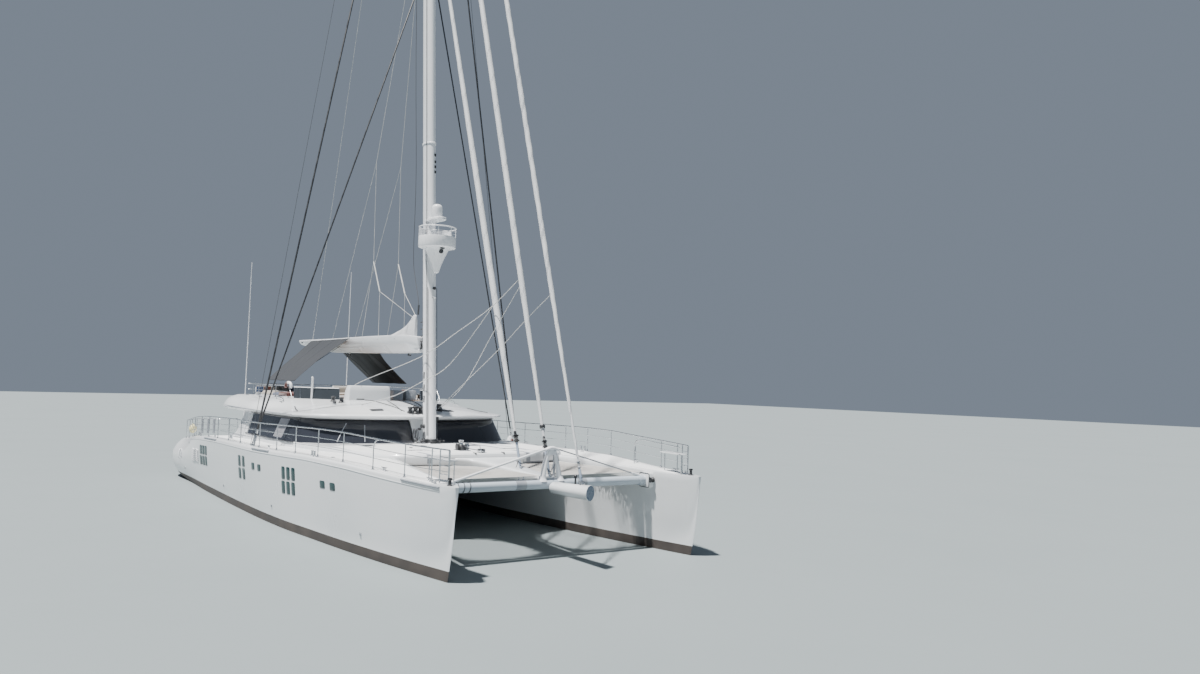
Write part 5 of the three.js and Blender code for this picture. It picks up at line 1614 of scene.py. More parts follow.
def glass_bars(side, hull):
    bars = bmesh.new()
    slants = [((-2.05, 4.08), (-2.35, 3.28))]
    if side < 0:
        slants += [((4.03, 3.97), (4.48, 3.27)), ((3.8, 4.05), (4.15, 3.27))]
    for top, low in slants:
        line = [on_glass(top[0] + (low[0] - top[0]) * t, top[1] + (low[1] - top[1]) * t, 0.018)
                for t in (0, 0.25, 0.5, 0.75, 1)]
        bar(bars, [(p.x, side * p.y, p.z) for p in line], 0.022, 6, finish=1, flat=0.6)
    rows = []
    for t in (0, 0.25, 0.5, 0.75, 1):
        z = 4.13 + (3.3 - 4.13) * t
        fore, aft = 1.62 - 0.14 * t, 0.66 - 0.2 * t
        row = [on_glass(aft + (fore - aft) * k / 4, z, 0.02) for k in range(5)]
        rows.append([(p.x, side * p.y, p.z) for p in row])
    stamp(bars, sheet_of(rows, 0.01), finish=2)
    for z, radius in ((3.185, 0.022), (4.205, 0.03)):
        line = [p for p in saloon_line(z, 0.014) if p.x > -4.4]
        bar(bars, [(p.x, side * max(p.y, 0.3), p.z) for p in line if p.y > 0.2], radius, 6)
    piece(f"glass_bars_{hull}", bars, [BLACK, GREY, BAY], slot="dark_glass")


for side, hull in SIDES:
    build_buttress(side, hull)
    glass_bars(side, hull)


def build_roof_gear():
    gear = bmesh.new()
    for side in (-1, 1):
        # A grey line along each side of the roof: painted shade in the groove there
        groove = curve_through([(-8.0, 5.57, 4.42), (-6.07, 5.625, 4.41), (-3.3, 5.63, 4.39),
                                (0.8, 5.46, 4.38), (2.4, 5.16, 4.37)], 8)
        bar(gear, [(p.x, side * p.y, p.z) for p in groove], 0.02, 6, finish=1)
        slot = [on_roof(x, side * y, 0.006) for x, y in ((0.3, 4.42), (1.1, 4.6), (1.9, 4.76))]
        bar(gear, slot, 0.028, 8, finish=2, flat=0.6)
        hatch = plate([(3.35, 1.4), (3.72, 1.45), (3.72, 2.04), (3.35, 2.01)], 0.03, 0.006, 0.04)
        for vert in hatch.verts:
            vert.co = on_roof(vert.co.x, side * vert.co.y, 0.012 + vert.co.z)
        bmesh.ops.recalc_face_normals(hatch, faces=hatch.faces)
        stamp(gear, hatch, finish=2)
        for line in ([(0.5, -1.15), (1.85, -0.92), (2.97, -0.73), (3.9, -0.56)],
                     [(1.2, -0.3), (2.29, -0.46), (3.8, -0.66)]):
            path = curve_through([(x, -side * y, 0) for x, y in line], 6)
            bar(gear, [on_roof(p.x, p.y, 0.014) for p in path], 0.02, 6, finish=2)
    for x, y in ((1.2, -2.9), (1.55, -2.97), (0.75, -2.35)):
        spot = on_roof(x, y)
        pulley(gear, spot.x, spot.y, spot.z + 0.1, 2, 0.075)
        box(gear, spot - Vector((0.16, 0.05, 0.01)), spot + Vector((0.16, 0.05, 0.03)), 0.01, finish=3)
    for x, y in ((1.2, -2.55), (0.5, -2.7)):
        stamp(gear, winch(0.13, 0.26), Matrix.Translation(on_roof(x, y, -0.01)), 2)
    bed = on_roof(4.2, -0.18)
    box(gear, bed - Vector((0.16, 0.32, 0.04)), bed + Vector((0.12, 0.32, 0.1)), 0.03, finish=2)
    for x, y, size in ((4.18, -0.4, 0.14), (4.22, -0.16, 0.16), (4.16, 0.1, 0.14), (3.62, 1.28, 0.15)):
        stamp(gear, winch(size, 2.2 * size), Matrix.Translation(on_roof(x, y, -0.01)), 2)
        spot = on_roof(x + 0.2, y, 0.1)
        coil(gear, (spot.x, spot.y, spot.z), 0.12, 3, 0.014, 4, 0.8)
    for x in (-7.6, -5.0, -1.4):
        for s in (-1, 1):
            spot = on_roof(x, s * 4.6)
            box(gear, spot - Vector((0.3, 0.015, 0.02)), spot + Vector((0.3, 0.015, 0.03)), 0.01, finish=3)
    for s in (-1, 1):
        rail = [on_roof(-2.4, s * 4.5), on_roof(-2.3, s * 4.5, 0.12), on_roof(-1.4, s * 4.48, 0.12),
                on_roof(-1.3, s * 4.48)]
        bar(gear, curve_through(rail, 5), 0.018, 8, finish=3)
    eye = [(-10.5, -0.5, 4.35), (-10.62, -0.5, 4.35), (-10.62, 0.5, 4.35), (-10.5, 0.5, 4.35)]
    bar(gear, eye, 0.014, 6, finish=3)
    piece("roof_gear", gear, [GEL, GREY, BLACK, STEEL, DARK_ROPE], slot="steel")


build_roof_gear()

# Flybridge on the coachroof
def build_flybridge():
    z = FLYBRIDGE
    console = bmesh.new()
    stamp(console, moulded([
        (z, -0.35, 0.35, -1.9, 0.2, 0.04), (z + 0.05, -0.34, 0.35, -1.9, 0.2, 0.04),
        (z + 0.43, -0.28, 0.34, -1.88, 0.18, 0.04), (z + 0.67, -0.12, 0.31, -1.86, 0.16, 0.04),
        (z + 0.688, -0.11, 0.3, -1.85, 0.15, 0.04), (z + 0.698, -0.09, 0.28, -1.83, 0.13, 0.03),
    ]))
    slope = aimed((-0.205, -0.75, z + 0.56), (-0.5, -0.75, z + 0.7), (0, 1, 0))
    for y, wide in ((-0.78, 0.34), (-0.36, 0.34), (0.06, 0.34), (0.5, 0.34)):
        bezel = oblong(-0.1, y - wide / 2, 0.1, y + wide / 2)
        stamp(console, plate(bezel, 0.02, 0.006, 0.02), slope @ at(0, 0, 0.012), 1)
        screen = [(0.8 * u, y + 0.86 * (v - y)) for u, v in bezel]
        stamp(console, plate(screen, 0.004, 0.001, 0.01), slope @ at(0, 0, 0.014), 2)
    for k in range(4):
        lever = [(-0.33, -0.62 + 0.09 * k, z + 0.47), (-0.37, -0.62 + 0.09 * k, z + 0.56)]
        bar(console, lever, 0.014, 8, finish=3)
    bar(console, [(-0.44, -1.25, HELM), (-0.2, -1.25, HELM)], 0.034, 14, finish=3)
    lathe(console, [(0, 0), (0.09, 0), (0.1, 0.02), (0.07, 0.05), (0.03, 0.06), (0, 0.06)], 24,
          aimed((-0.3, -1.25, HELM), (-1, -1.25, HELM)), 3)
    # A black bar low on the console's front: painted shade in the slot there
    box(console, (0.3, -1.52, z + 0.02), (0.356, -1.12, z + 0.08), 0.012, finish=1)
    dressed("flybridge_console", console, [GEL, BLACK, GLASS, STEEL], slot="gel_white")
    sole = bmesh.new()
    floor = [(-7.9, -3.0), (-3.1, -3.0), (-1.2, -2.6), (-0.5, -2.0), (-0.5, 2.0), (-1.2, 2.6), (-3.1, 3.0),
             (-7.9, 3.0)]
    stamp(sole, plate(floor, 0.006, 0.002, 0.15), at(0, 0, z + 0.004))
    piece("flybridge_sole", sole, [TEAK], slot="teak")

    wheel = bmesh.new()
    place = at(-0.47, -1.25, HELM) @ Matrix.Rotation(pi / 2, 4, "Y")
    rim = [(0.3 * cos(a), 0.3 * sin(a), 0) for a in [2 * pi * k / 48 for k in range(48)]]
    bar(wheel, rim, 0.019, 12, place, 1, loop=True)
    for k in range(6):
        a = pi * k / 3
        spoke = [
            (0.04 * cos(a), 0.04 * sin(a), 0), (0.17 * cos(a), 0.17 * sin(a), 0.012),
            (0.292 * cos(a), 0.292 * sin(a), 0),
        ]
        bar(wheel, curve_through(spoke, 4), 0.011, 8, place)
    lathe(wheel, [(0, -0.03), (0.05, -0.03), (0.055, -0.02), (0.05, 0.015), (0.03, 0.028), (0, 0.03)], 24,
          place)
    dressed("helm_wheel", wheel, [STEEL, BLACK], body="helm_wheel", slot="steel")

    seats = bmesh.new()
    stamp(seats, tray(z, 5.16, -2.44, -1.54, -1.72, 0.27))
    stamp(seats, tray(z, 5.62, -2.56, -2.45, -1.75, 0.3, 0.04), finish=0)
    stamp(seats, tray(z, 5.12, -8.84, -7.97, -3.64, 3.64))
    stamp(seats, tray(z, 5.4, -9.0, -8.9, -3.85, 3.85, 0.045))
    for s in (-1, 1):
        y0, y1 = sorted((s * 3.07, s * 3.83))
        stamp(seats, tray(z, 5.04, -7.97, -3.02, y0, y1, edge=0.01))
    piece("flybridge_seat_bases", seats, [GEL], slot="gel_white", nodes=["flybridge_seat"])
    pads(
        "flybridge_helm_cushions", [(2, (-2.42, -1.7, 5.16), (-1.56, 0.25, 5.29), 1, "z"),
        (2, (-2.45, -1.7, 5.22), (-2.33, 0.25, 5.6), 1, "x")],
    )
    sofa = pads(
        "flybridge_sofa_cushions", [(5, (-8.8, -3.6, 5.12), (-8.0, 3.6, 5.25), 1, "z"),
        (4, (-7.92, 3.1, 5.04), (-3.05, 3.8, 5.2), 0, "z"),
        (2, (-7.92, -3.8, 5.04), (-5.7, -3.1, 5.2), 0, "z")],
    )
    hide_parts("flybridge_sofa")
    pads("flybridge_sofa_backs", [(6, (-8.89, -3.8, 5.18), (-8.76, 3.8, 5.48), 1, "x")], SILVER)
    pads("flybridge_blue_cushion", [(1, (-5.68, -3.82, 5.04), (-4.62, -3.1, 5.21), 0, "z")], BLUE, 0)
    pads("flybridge_red_cushion", [(1, (-4.56, -3.84, 5.04), (-3.04, -3.1, 5.25), 0, "z")], RED, 0)
    scatter = bmesh.new()
    for x, y, shade, lean in (
        (-8.62, -3.7, 0, 80), (-8.55, -3.35, 2, 100), (-8.6, -1.9, 0, 84), (-8.58, 2.3, 2, 96),
        (-8.62, 3.2, 0, 100), (-5.0, 3.62, 0, 176), (-6.3, 3.64, 2, 186),
    ):
        pillow = pad((-0.2, -0.06, -0.17), (0.2, 0.06, 0.17), "y", 0.05, both=True)
        for face in pillow.faces:
            face.material_index += shade
        stamp(scatter, pillow, at(x, y, 5.3, lean) @ Matrix.Rotation(radians(12), 4, "X"), None)
    loose = piece(
        "flybridge_scatter_cushions", scatter, [BLUE, PIPING, RED, PIPING], slot="cushion", crease=60,
    )

    table = bmesh.new()
    outline = rounded(-6.3, -4.3, -0.9, 0.9, 0.18, 6)
    stamp(table, plate(outline, 0.045, 0.01), at(0, 0, 5.43))
    stamp(table, plate([(-5.3 + (x + 5.3) * 0.9, y * 0.86) for x, y in outline], 0.02, 0.006),
          at(0, 0, 5.386), 1)
    lathe(table, [(0, 0), (0.25, 0), (0.25, 0.015), (0.13, 0.04), (0.11, 0.08), (0.11, 0.34), (0.18, 0.39),
                  (0, 0.39)], 28, at(-5.3, 0, z), 2)
    dressed("flybridge_table", table, [TEAK, BLACK, STEEL], slot="teak")

    rail = bmesh.new()
    corners = [(-2.6, 3.96), (-6.0, 4.08), (-8.75, 4.0), (-9.18, 3.5)]
    line = [(x, -y, FLYBRIDGE_RAIL) for x, y in corners]
    line += [(x, y, FLYBRIDGE_RAIL) for x, y in reversed(corners)]
    bar(rail, curve_through(line, 8), 0.022, 10)
    lower = [(x, y, 5.28) for x, y, _ in line]
    bar(rail, curve_through(lower, 8), 0.01, 6)
    posts = [(x, y) for x, y, _ in line[1:-1]]
    posts += [(x, s * y) for x, y in ((-4.3, 4.04), (-7.4, 4.07), (-9.2, 1.2)) for s in (-1, 1)]
    for x, y in posts:
        foot = on_roof(x, y)
        bar(rail, [foot, (x, y, 5.585)], 0.018, 8)
        lathe(rail, [(0.055, 0), (0.055, 0.012), (0.03, 0.02), (0.026, 0.07)], 14, Matrix.Translation(foot))
    for s in (-1, 1):
        end = [(-2.6, s * 3.96, FLYBRIDGE_RAIL), (-2.4, s * 3.94, 5.5), on_roof(-1.9, s * 3.9)]
        bar(rail, curve_through(end, 5), 0.02, 8)
    bar(rail, [(-8.75, -3.94, 5.5), (-8.75, -3.94, 5.86)], 0.014, 8)
    dressed("flybridge_rail", rail, [STEEL], slot="steel")

    screens = bmesh.new()
    for s in (-1, 1):
        line = curve_through(
            [(-2.0, s * 3.78, 0), (-1.6, s * 3.6, 0), (-1.1, s * 3.2, 0), (-0.35, s * 2.1, 0)], 6,
        )
        rows = [[(p.x - 0.12 * t, p.y, 4.97 + 0.54 * t) for t in (0, 0.33, 0.66, 1)] for p in line]
        stamp(screens, sheet_of(rows, 0.012))
        bar(screens, [(p.x - 0.12, p.y, 5.52) for p in line], 0.024, 8, finish=1)
        for p in line[::6]:
            bar(screens, [(p.x, p.y, 4.93), (p.x - 0.12, p.y, 5.52)], 0.016, 8, finish=2)
    piece("flybridge_screens", screens, [SCREEN, PAINT, STEEL], slot="dark_glass")

    extras = bmesh.new()
    around = [radians(205 - 230 * k / 24) for k in range(25)]
    ring = [(-2.3 + 0.24 * cos(a), -4.0 + 0.06 * cos(a), 5.56 + 0.17 * sin(a)) for a in around]
    hoops = tube(ring, 0.07, 14)
    for face in hoops.faces:
        middle = face.calc_center_median()
        turn = degrees(atan2(middle.z - 5.56, middle.x + 2.3)) % 360
        face.material_index = 1 if 100 < turn < 210 else 0
    stamp(extras, hoops, finish=None)
    lathe(extras, [(0.05, 0), (0.05, 1.0), (0.06, 1.02), (0.06, 1.06), (0.04, 1.11), (0, 1.12)], 18,
          at(-1.15, -3.2, 4.94))
    for x, y, high in ((-2.75, 0.9, 0.42), (-0.9, 1.0, 0.5), (-0.9, 1.7, 0.5), (-3.3, -1.2, 0.36)):
        stamp(extras, tray(FLYBRIDGE, FLYBRIDGE + high, x - 0.3, x + 0.3, y - 0.28, y + 0.28, 0.06), finish=3)
    for x, y in ((-1.1, -2.55), (-1.4, 2.5)):
        stamp(extras, winch(0.16, 0.34), at(x, y, FLYBRIDGE - 0.01), 4)
        bar(extras, [(x, y, 5.32), (x + 0.26, y + 0.05, 5.36)], 0.018, 8, finish=4)
    piece("flybridge_gear", extras, [PAINT, RED, STEEL, GREY, BLACK], slot="gel_white")


build_flybridge()


# Cockpit and saloon
def build_cockpit():
    bases = bmesh.new()
    stamp(bases, tray(FLOOR_LEVEL, 2.27, -9.78, -5.92, 2.08, 2.84, 0.04))
    stamp(bases, tray(FLOOR_LEVEL, 2.27, -10.42, -9.8, -2.83, 2.83, 0.04))
    stamp(bases, tray(FLOOR_LEVEL, 2.76, -10.6, -10.44, -2.83, 2.83, 0.04))
    piece("cockpit_sofa_base", bases, [GEL], slot="gel_white", nodes=["cockpit_sofa"])
    pads(
        "cockpit_cushions", [(3, (-9.76, 2.1, 2.27), (-5.94, 2.72, 2.4), 0, "z"),
        (5, (-10.32, -2.8, 2.27), (-9.8, 2.8, 2.4), 1, "z"),
        (3, (-9.76, 2.7, 2.36), (-5.94, 2.83, 2.76), 0, "-y"),
        (5, (-10.44, -2.8, 2.36), (-10.3, 2.8, 2.78), 1, "x")],
    )
    table = bmesh.new()
    outline = rounded(-9.1, -6.7, -0.3, 1.3, 0.16, 6)
    stamp(table, plate(outline, 0.05, 0.012), at(0, 0, 2.68))
    stamp(table, plate([(-7.9 + (x + 7.9) * 0.92, 0.5 + (y - 0.5) * 0.86) for x, y in outline], 0.03,
                       0.006), at(0, 0, 2.632), 1)
    for x in (-8.35, -7.45):
        lathe(table, [(0, 0), (0.2, 0), (0.2, 0.015), (0.09, 0.05), (0.075, 0.1), (0.075, 0.58),
                      (0.13, 0.65), (0, 0.65)], 26, at(x, 0.5, FLOOR_LEVEL), 2)
    dressed("cockpit_table", table, [TEAK, BLACK, STEEL], slot="teak")
    sole = bmesh.new()
    stamp(sole, plate(oblong(-9.74, -2.8, -4.62, 2.02), 0.01, 0.004, 0.05), at(0, 0, FLOOR_LEVEL + 0.012))
    stamp(sole, plate(oblong(-11.2, -2.78, -10.64, 2.78), 0.01, 0.004, 0.05), at(0, 0, FLOOR_LEVEL + 0.012))
    piece("cockpit_sole", sole, [TEAK], slot="teak")

    inside = bmesh.new()
    stamp(inside, plate(oblong(-4.36, -2.1, 3.86, 1.86), 0.008, 0.003), at(0, 0, FLOOR_LEVEL + 0.01))
    piece("saloon_sole", inside, [TEAK], slot="teak")
    lounge = bmesh.new()
    stamp(lounge, tray(FLOOR_LEVEL, 2.27, -3.18, 2.58, 1.92, 2.83, 0.05))
    piece("saloon_sofa_base", lounge, [TEAK], slot="teak", nodes=["saloon_sofa"])
    pads(
        "saloon_cushions", [(5, (-3.16, 1.94, 2.27), (2.56, 2.62, 2.42), 0, "z"),
        (5, (-3.16, 2.6, 2.38), (2.56, 2.82, 2.88), 0, "-y")],
    )
    counter = bmesh.new()
    stamp(counter, tray(FLOOR_LEVEL, 2.82, -3.18, 1.78, -2.84, -2.18, 0.04), finish=1)
    stamp(counter, plate(oblong(-3.2, -2.84, 1.8, -2.15), 0.04, 0.01, 0.03), at(0, 0, 2.87))
    for k in range(8):
        x = -2.86 + 0.6 * k
        box(counter, (x - 0.28, -2.182, 2.05), (x + 0.28, -2.166, 2.76), 0.008, finish=1)
        bar(counter, [(x - 0.1, -2.158, 2.68), (x + 0.1, -2.158, 2.68)], 0.008, 6, finish=2)
    stamp(counter, plate(rounded(-0.7, 0.1, -2.72, -2.3, 0.08), 0.004, 0.001), at(0, 0, 2.876), 2)
    bar(
        counter,
        curve_through([(-0.3, -2.78, 2.87), (-0.3, -2.78, 3.08), (-0.3, -2.68, 3.14), (-0.3, -2.58, 3.06)],
        5), 0.014, 8, finish=2,
    )
    dressed("saloon_counter", counter, [GEL, TEAK, STEEL], slot="gel_white")


def build_door():
    door = bmesh.new()
    x0, x1 = -4.575, -4.52
    for y0, y1, z0, z1 in (
        (-0.03, 0.06, 1.98, 4.01), (1.47, 1.56, 1.98, 4.01), (0.05, 1.48, 1.98, 2.09),
        (0.05, 1.48, 3.91, 4.01),
    ):
        box(door, (x0, y0, z0), (x1, y1, z1), 0.012)
    box(door, (x0 + 0.02, 0.05, 2.08), (x1 - 0.02, 1.48, 3.92), 0.004, finish=1)
    pull = [(-4.58, 1.38, 2.92), (-4.61, 1.38, 2.92), (-4.61, 1.38, 3.28), (-4.58, 1.38, 3.28)]
    bar(door, pull, 0.016, 12, finish=2)
    bar(door, [(-4.61, 1.38, 2.9), (-4.61, 1.38, 3.3)], 0.018, 12, finish=2)
    dressed("saloon_door", door, [GREY, GLASS, STEEL], body="saloon_door", slot="dark_glass")
    trims = bmesh.new()
    box(trims, (-4.602, -1.6, 4.015), (-4.512, 3.1, 4.07), 0.01)
    box(trims, (-4.522, -1.6, 1.955), (-4.512, 3.1, 1.975), 0.002, finish=1)
    piece("door_tracks", trims, [GREY, STEEL], slot="steel")


build_cockpit()
build_door()


# Platform between the sterns, rudders, propellers, aerials
def build_platform():
    deck = bmesh.new()
    stamp(
        deck,
        moulded([(0.64, -14.44, -12.46, -2.64, 2.64, 0.12), (0.66, -14.49, -12.42, -2.69, 2.69, 0.12),
        (0.735, -14.5, -12.42, -2.7, 2.7, 0.12), (0.748, -14.49, -12.43, -2.69, 2.69, 0.12)]),
    )
    stamp(deck, plate(rounded(-14.42, -12.56, -2.62, 2.62, 0.1), 0.012, 0.004), at(0, 0, 0.76), 1)
    for s in (-1, 1):
        stamp(deck, moulded([(0.7, -12.51, -12.42, s * 1.7 - 0.16, s * 1.7 + 0.16, 0.02),
                             (1.64, -12.51, -12.42, s * 1.7 - 0.16, s * 1.7 + 0.16, 0.02),
                             (1.65, -12.5, -12.43, s * 1.7 - 0.15, s * 1.7 + 0.15, 0.02)]), finish=2)
        for z in (0.9, 1.15, 1.4):
            box(deck, (-12.53, s * 1.7 - 0.1, z), (-12.505, s * 1.7 + 0.1, z + 0.03), 0.006, finish=2)
    dressed("aft_platform", deck, [GEL, TEAK, STEEL], body="aft_platform", slot="teak")
    lip = bmesh.new()
    bar(lip, [(-14.5, -2.5, 0.7), (-14.5, 2.5, 0.7)], 0.02, 8)
    piece("aft_platform_fender", lip, [RUBBER], body="aft_platform", slot="teak")


# Rudder: height, leading edge ahead of the stock, trailing edge behind it, half thickness
RUDDER = [(-2.0, 0.2, 0.4, 0.02), (-1.95, 0.222, 0.433, 0.034), (-1.3, 0.29, 0.6, 0.054),
          (-0.5, 0.318, 0.638, 0.061), (-0.43, 0.3, 0.62, 0.05)]
RUDDER_X = -14.3


def foil(z, lead, trail, half, steps=12):
    """A ring of a fin's section."""
    side = []
    for k in range(steps + 1):
        t = (1 - cos(pi * k / steps)) / 2
        thick = 2.6 * half * (1.48 * sqrt(t) - 0.63 * t - 1.76 * t * t + 1.42 * t ** 3 - 0.5 * t ** 4)
        side.append((lead - (lead + trail) * t, max(min(thick, half), 0.003), z))
    return side + [(x, -y, z) for x, y, z in reversed(side)]


def build_underwater(side, hull):
    place = at(RUDDER_X, side * HULL_MIDDLE, 0)
    rudder = bmesh.new()
    stamp(rudder, skin([foil(*row_at(RUDDER, z)) for z in [-2 + 1.57 * k / 18 for k in range(19)]]), place)
    lathe(rudder, drum_of(0.05, -0.45, -0.09), 20, place, 1)
    dressed(f"rudder_{hull}", rudder, [BOTTOM, STEEL], body=f"rudder_{hull}", slot="bottom_paint",
          crease=50)
    screw = bmesh.new()
    tail = Vector((-11.9, side * HULL_MIDDLE, -1.15))
    shaft_way = aimed(tail, tail + Vector((-4.7, 0, -0.43)))
    lathe(screw, [(0, -0.11), (0.072, -0.11), (0.075, -0.08), (0.075, 0.06), (0.06, 0.13), (0.03, 0.18),
                  (0, 0.19)], 24, shaft_way)
    for k in range(4):
        rows = []
        for j in range(9):
            t = j / 8
            reach = 0.06 + 0.375 * t
            chord = 0.3 * (0.42 + 1.5 * t - 1.62 * t * t) * (1 if t < 0.98 else 0.5)
            pitch = atan2(0.5, 2 * pi * max(reach, 0.1))
            thick = 0.022 * (1 - 0.85 * t) + 0.002
            row = []
            for m in range(12):
                a = pi * m / 6
                u, w = 0.5 * chord * cos(a), thick * sin(a)
                row.append((reach, u * cos(pitch) + w * sin(pitch) + 0.04 * t,
                            u * sin(pitch) - w * cos(pitch)))
            rows.append(row)
        stamp(screw, skin(rows), shaft_way @ Matrix.Rotation(pi * k / 2, 4, "Z"))
    dressed(f"propeller_{hull}", screw, [BRONZE], body=f"propeller_{hull}", slot="bronze")


def build_whip(side, hull):
    x, y, foot = -14.2, side * 3.1, side * 3.46
    whip = bmesh.new()
    lathe(whip, [(0, 2.12), (0.036, 2.12), (0.036, 4.1), (0.036, 4.18), (0.03, 4.22), (0.028, 8),
                 (0.018, 12.85), (0.02, 12.87), (0.012, 12.9), (0, 12.9)], 16, at(x, y, 0))
    bar(whip, [(x, foot, 2.05), (x, foot, 2.2)], 0.037, 14, finish=1)
    bar(whip, [(x, foot, 2.18), (x, y, 2.18)], 0.029, 12, finish=1)
    for z in (2.13, 4.0):
        lathe(whip, [(0.036, 0), (0.038, 0.01), (0.038, 0.1), (0.036, 0.11)], 16, at(x, y, z), 1)
    dressed(f"whip_aerial_{hull}", whip, [PAINT, STEEL], slot="gel_white")


build_platform()
for side, hull in SIDES:
    build_underwater(side, hull)
    build_whip(side, hull)


# Gear on the sterns and the port bow
def build_stern_gear():
    gear = bmesh.new()
    float_at = Vector((-13.2, -6.12, 2.62))
    lathe(gear, [(0, 0), (0.09, 0.02), (0.17, 0.1), (0.2, 0.22), (0.185, 0.36), (0.11, 0.46), (0.05, 0.5),
                 (0.045, 0.56), (0, 0.56)], 24, Matrix.Translation(float_at), 0)
    bar(gear, [float_at + upward(0.5), float_at + Vector((0.02, -0.06, 0.8))], 0.012, 6, finish=1)
    for x, y in ((-15.0, -4.6), (-15.12, -4.9), (-15.02, -5.25)):
        bar(gear, [(x, y, 2.5), (x, y, 3.34)], 0.07, 12, finish=2)
        lathe(gear, [(0, 0), (0.07, 0), (0.075, 0.03), (0.05, 0.07), (0, 0.08)], 14, at(x, y, 3.32), 2)
    for s in (-1, 1):
        for k in range(5):
            high = 0.78 + 0.27 * k
            rung = [(-15.9, s * 3.42, high), (-15.9, s * 3.32, high)]
            bar(gear, rung, 0.01, 6, finish=3)
        spot = on_skin(-11.5, 2.22, s)
        lathe(gear, [(0, 0), (0.05, 0), (0.055, 0.02), (0.03, 0.03), (0, 0.03)], 16,
              aimed(spot, spot + Vector((0, s, 0))), 2)
        handle = [on_skin(-13.3, 1.72, s, 0.0), on_skin(-13.28, 1.66, s, 0.07),
                  on_skin(-13.22, 1.3, s, 0.07), on_skin(-13.2, 1.24, s, 0.0)]
        bar(gear, curve_through(handle, 5), 0.035, 10, finish=4)
    piece("stern_gear", gear, [BUOY, DARK_ROPE, GREY, STEEL, PAINT], slot="steel")

    bow = bmesh.new()
    line = [Vector((x, y, z)) for x, y, z in RAIL_LINE[:3]]
    inner = [p + Vector((0, -0.42, 0)) for p in curve_through(line, 6)]
    top = [inner[0] + upward(0.98)] + [p + upward(0.98) for p in inner[3:9]] + [
        inner[9] + Vector((-0.2, 0, 0.8)), inner[9] + Vector((-0.25, 0, 0.0))]
    bar(bow, curve_through(top, 4), 0.018, 8)
    for s in (-1, 1):
        seat = [(15.9, s * 4.62), (17.3, s * 4.45), (17.38, s * 4.72), (16.0, s * 5.0)]
        stamp(bow, plate(seat, 0.04, 0.012, 0.05), at(0, 0, 3.62), 1)
        for x, y in ((16.0, 4.8), (17.25, 4.55)):
            bar(bow, [(x, s * y, 2.88), (x, s * y, 3.6)], 0.02, 8)
        head = Vector((17.5, s * 4.8, 2.87))
        lathe(bow, [(0, 0), (0.09, 0), (0.09, 0.012), (0.055, 0.03), (0.05, 0.16), (0.075, 0.19),
                    (0.07, 0.23), (0, 0.24)], 18, Matrix.Translation(head), 2)
        for x in (16.75, 16.95):
            lathe(bow, [(0, 0), (0.055, 0), (0.055, 0.01), (0.035, 0.02), (0.035, 0.08), (0, 0.09)], 14,
                  at(x, s * 5.02, 2.885), 0)
    piece("bow_gear", bow, [STEEL, GEL, BLACK], slot="steel")

    flange = bmesh.new()
    stamp(flange, moulded([
        (2.27, 15.4, 15.92, 4.12, 4.4, 0.05), (2.3, 15.38, 15.94, 4.11, 4.41, 0.05),
        (2.78, 15.38, 15.94, 4.11, 4.41, 0.05), (2.81, 15.4, 15.92, 4.12, 4.4, 0.05),
    ]))
    for y in (4.11, 4.36):
        outline = [(x, y, z) for x, z in rounded(15.38, 15.94, 2.28, 2.8, 0.05)]
        bar(flange, outline, 0.014, 6, finish=1, loop=True)
    lathe(flange, [(0, 0), (0.1, 0), (0.1, 0.04), (0.06, 0.08), (0.1, 0.12), (0.1, 0.16), (0, 0.16)], 20,
          aimed((15.96, 4.14, 2.56), (15.96, 5, 2.56)), 1)
    piece("crossbeam_flange", flange, [GEL, BLACK], slot="gel_white")


build_stern_gear()


# Headsail sheets, each from the roof to the clew of its furled sail
SHEETS = [
    [(-0.7, -1.62, 5.2), (0.13, -1.4, 5.8), (4.95, -0.38, 7.05), (8.5, -0.36, 8.05), (11.2, -0.25, 8.95),
    (13.05, -0.1, 9.92)], [on_roof(2.3, -2.0), (4.15, -1.2, 5.29), (5.26, -0.4, 5.95), (8.1, -0.4, 6.75),
    (11.13, -0.11, 9.04)], [on_roof(3.7, 1.28, 0.1), (6.75, 0.97, 5.92), (9.9, 0.52, 7.92),
    (13.05, 0.1, 9.92)], [on_roof(3.7, 1.2, 0.1), (6.85, 0.9, 5.94), (10.03, 0.8, 7.36), (12.65, 0.45, 8.4),
    (15.25, 0.09, 9.33)],
]


def axis_at(z):
    """A point on the axis that the boom swings about."""
    return (BOOM_PIVOT.x + MAST_RAKE * (z - BOOM_PIVOT.z), 0, z)


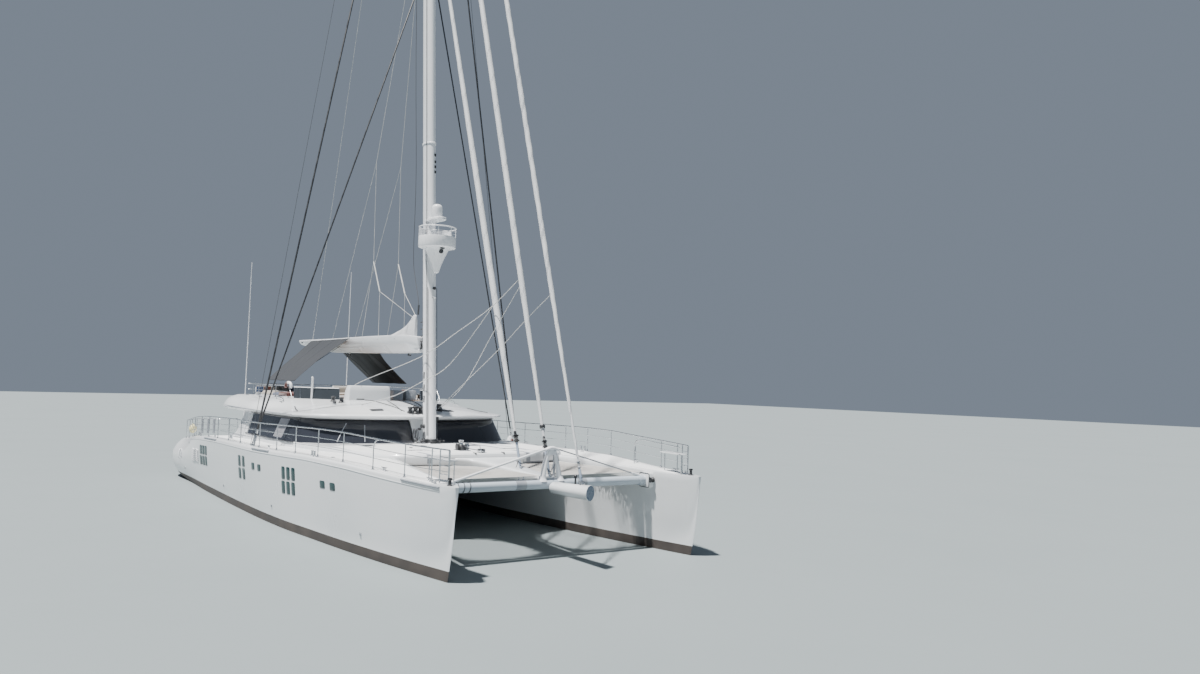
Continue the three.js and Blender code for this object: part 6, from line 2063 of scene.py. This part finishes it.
def rope(into, points, radius, finish=0, steps=1):
    line = curve_through(points, steps) if steps > 1 else points
    bar(into, line, radius, 6, finish=finish)


def build_rigging():
    """Ropes; those that ride on the boom have their tops on its swing axis."""
    lazy = bmesh.new()
    for s in (-1, 1):
        high, middle, low = (-0.68, s * 0.65, 16.9), (-0.47, s * 0.65, 11.85), (0.5, s * 0.65, 10.3)
        rope(lazy, [axis_at(30), high, middle], 0.012)
        rope(lazy, [middle, low], 0.03)
        for start, end in ((high, (-6.2, s * 0.62, 8.15)), (middle, (-1.6, s * 0.66, 8.12)),
                           (low, (0.6, s * 0.66, 8.1)), (low, (3.3, s * 0.1, 8.95))):
            rope(lazy, [start, end], 0.011)
    rope(lazy, [axis_at(48.0), (-11.6, 0, 8.3)], 0.013)
    rope(lazy, [axis_at(49.0), (2.0, 0, 24.5), (2.72, 0.03, 16), (2.89, 0, 12), (3.2, 0, 10.8),
                (3.57, 0, 10.0), (3.74, 0, 9.45)], 0.014, 1, 5)
    rope(lazy, [(3.74, 0, 9.5), (3.7, 0, 9.05)], 0.045, 1)
    rope(lazy, [(-12.9, 0.1, 8.26), (-9, 0.2, 8.22), (-4.4, 0.24, 8.3)], 0.014, 1, 4)
    piece("lazy_jacks", lazy, [WHITE_ROPE, DARK_ROPE], body="boom", slot="sailcloth")

    lines = bmesh.new()
    for s in (-1, 1):
        rope(lines, [(mast_at(50.3) - 0.2, s * 0.12, 50.3), (1.1, s * 6.5, 2.95)], 0.012, 1)
    for sheet in SHEETS:
        rope(lines, sheet, 0.014, 0, 5)
    piece("running_rigging", lines, [WHITE_ROPE, DARK_ROPE, STEEL], slot="steel")


build_rigging()

# Frame parts whose own shape stays
FRAME_FINISHES = {
    "bridge_deck": GEL, "saloon_walls": GEL, "saloon_bulkhead": GEL, "keel_port": BOTTOM,
    "keel_starboard": BOTTOM, "shaft_port": BRONZE, "shaft_starboard": BRONZE, "aft_light_glass": GLASS,
}
for name, look in FRAME_FINISHES.items():
    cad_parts[name].material_slots[0].material = look
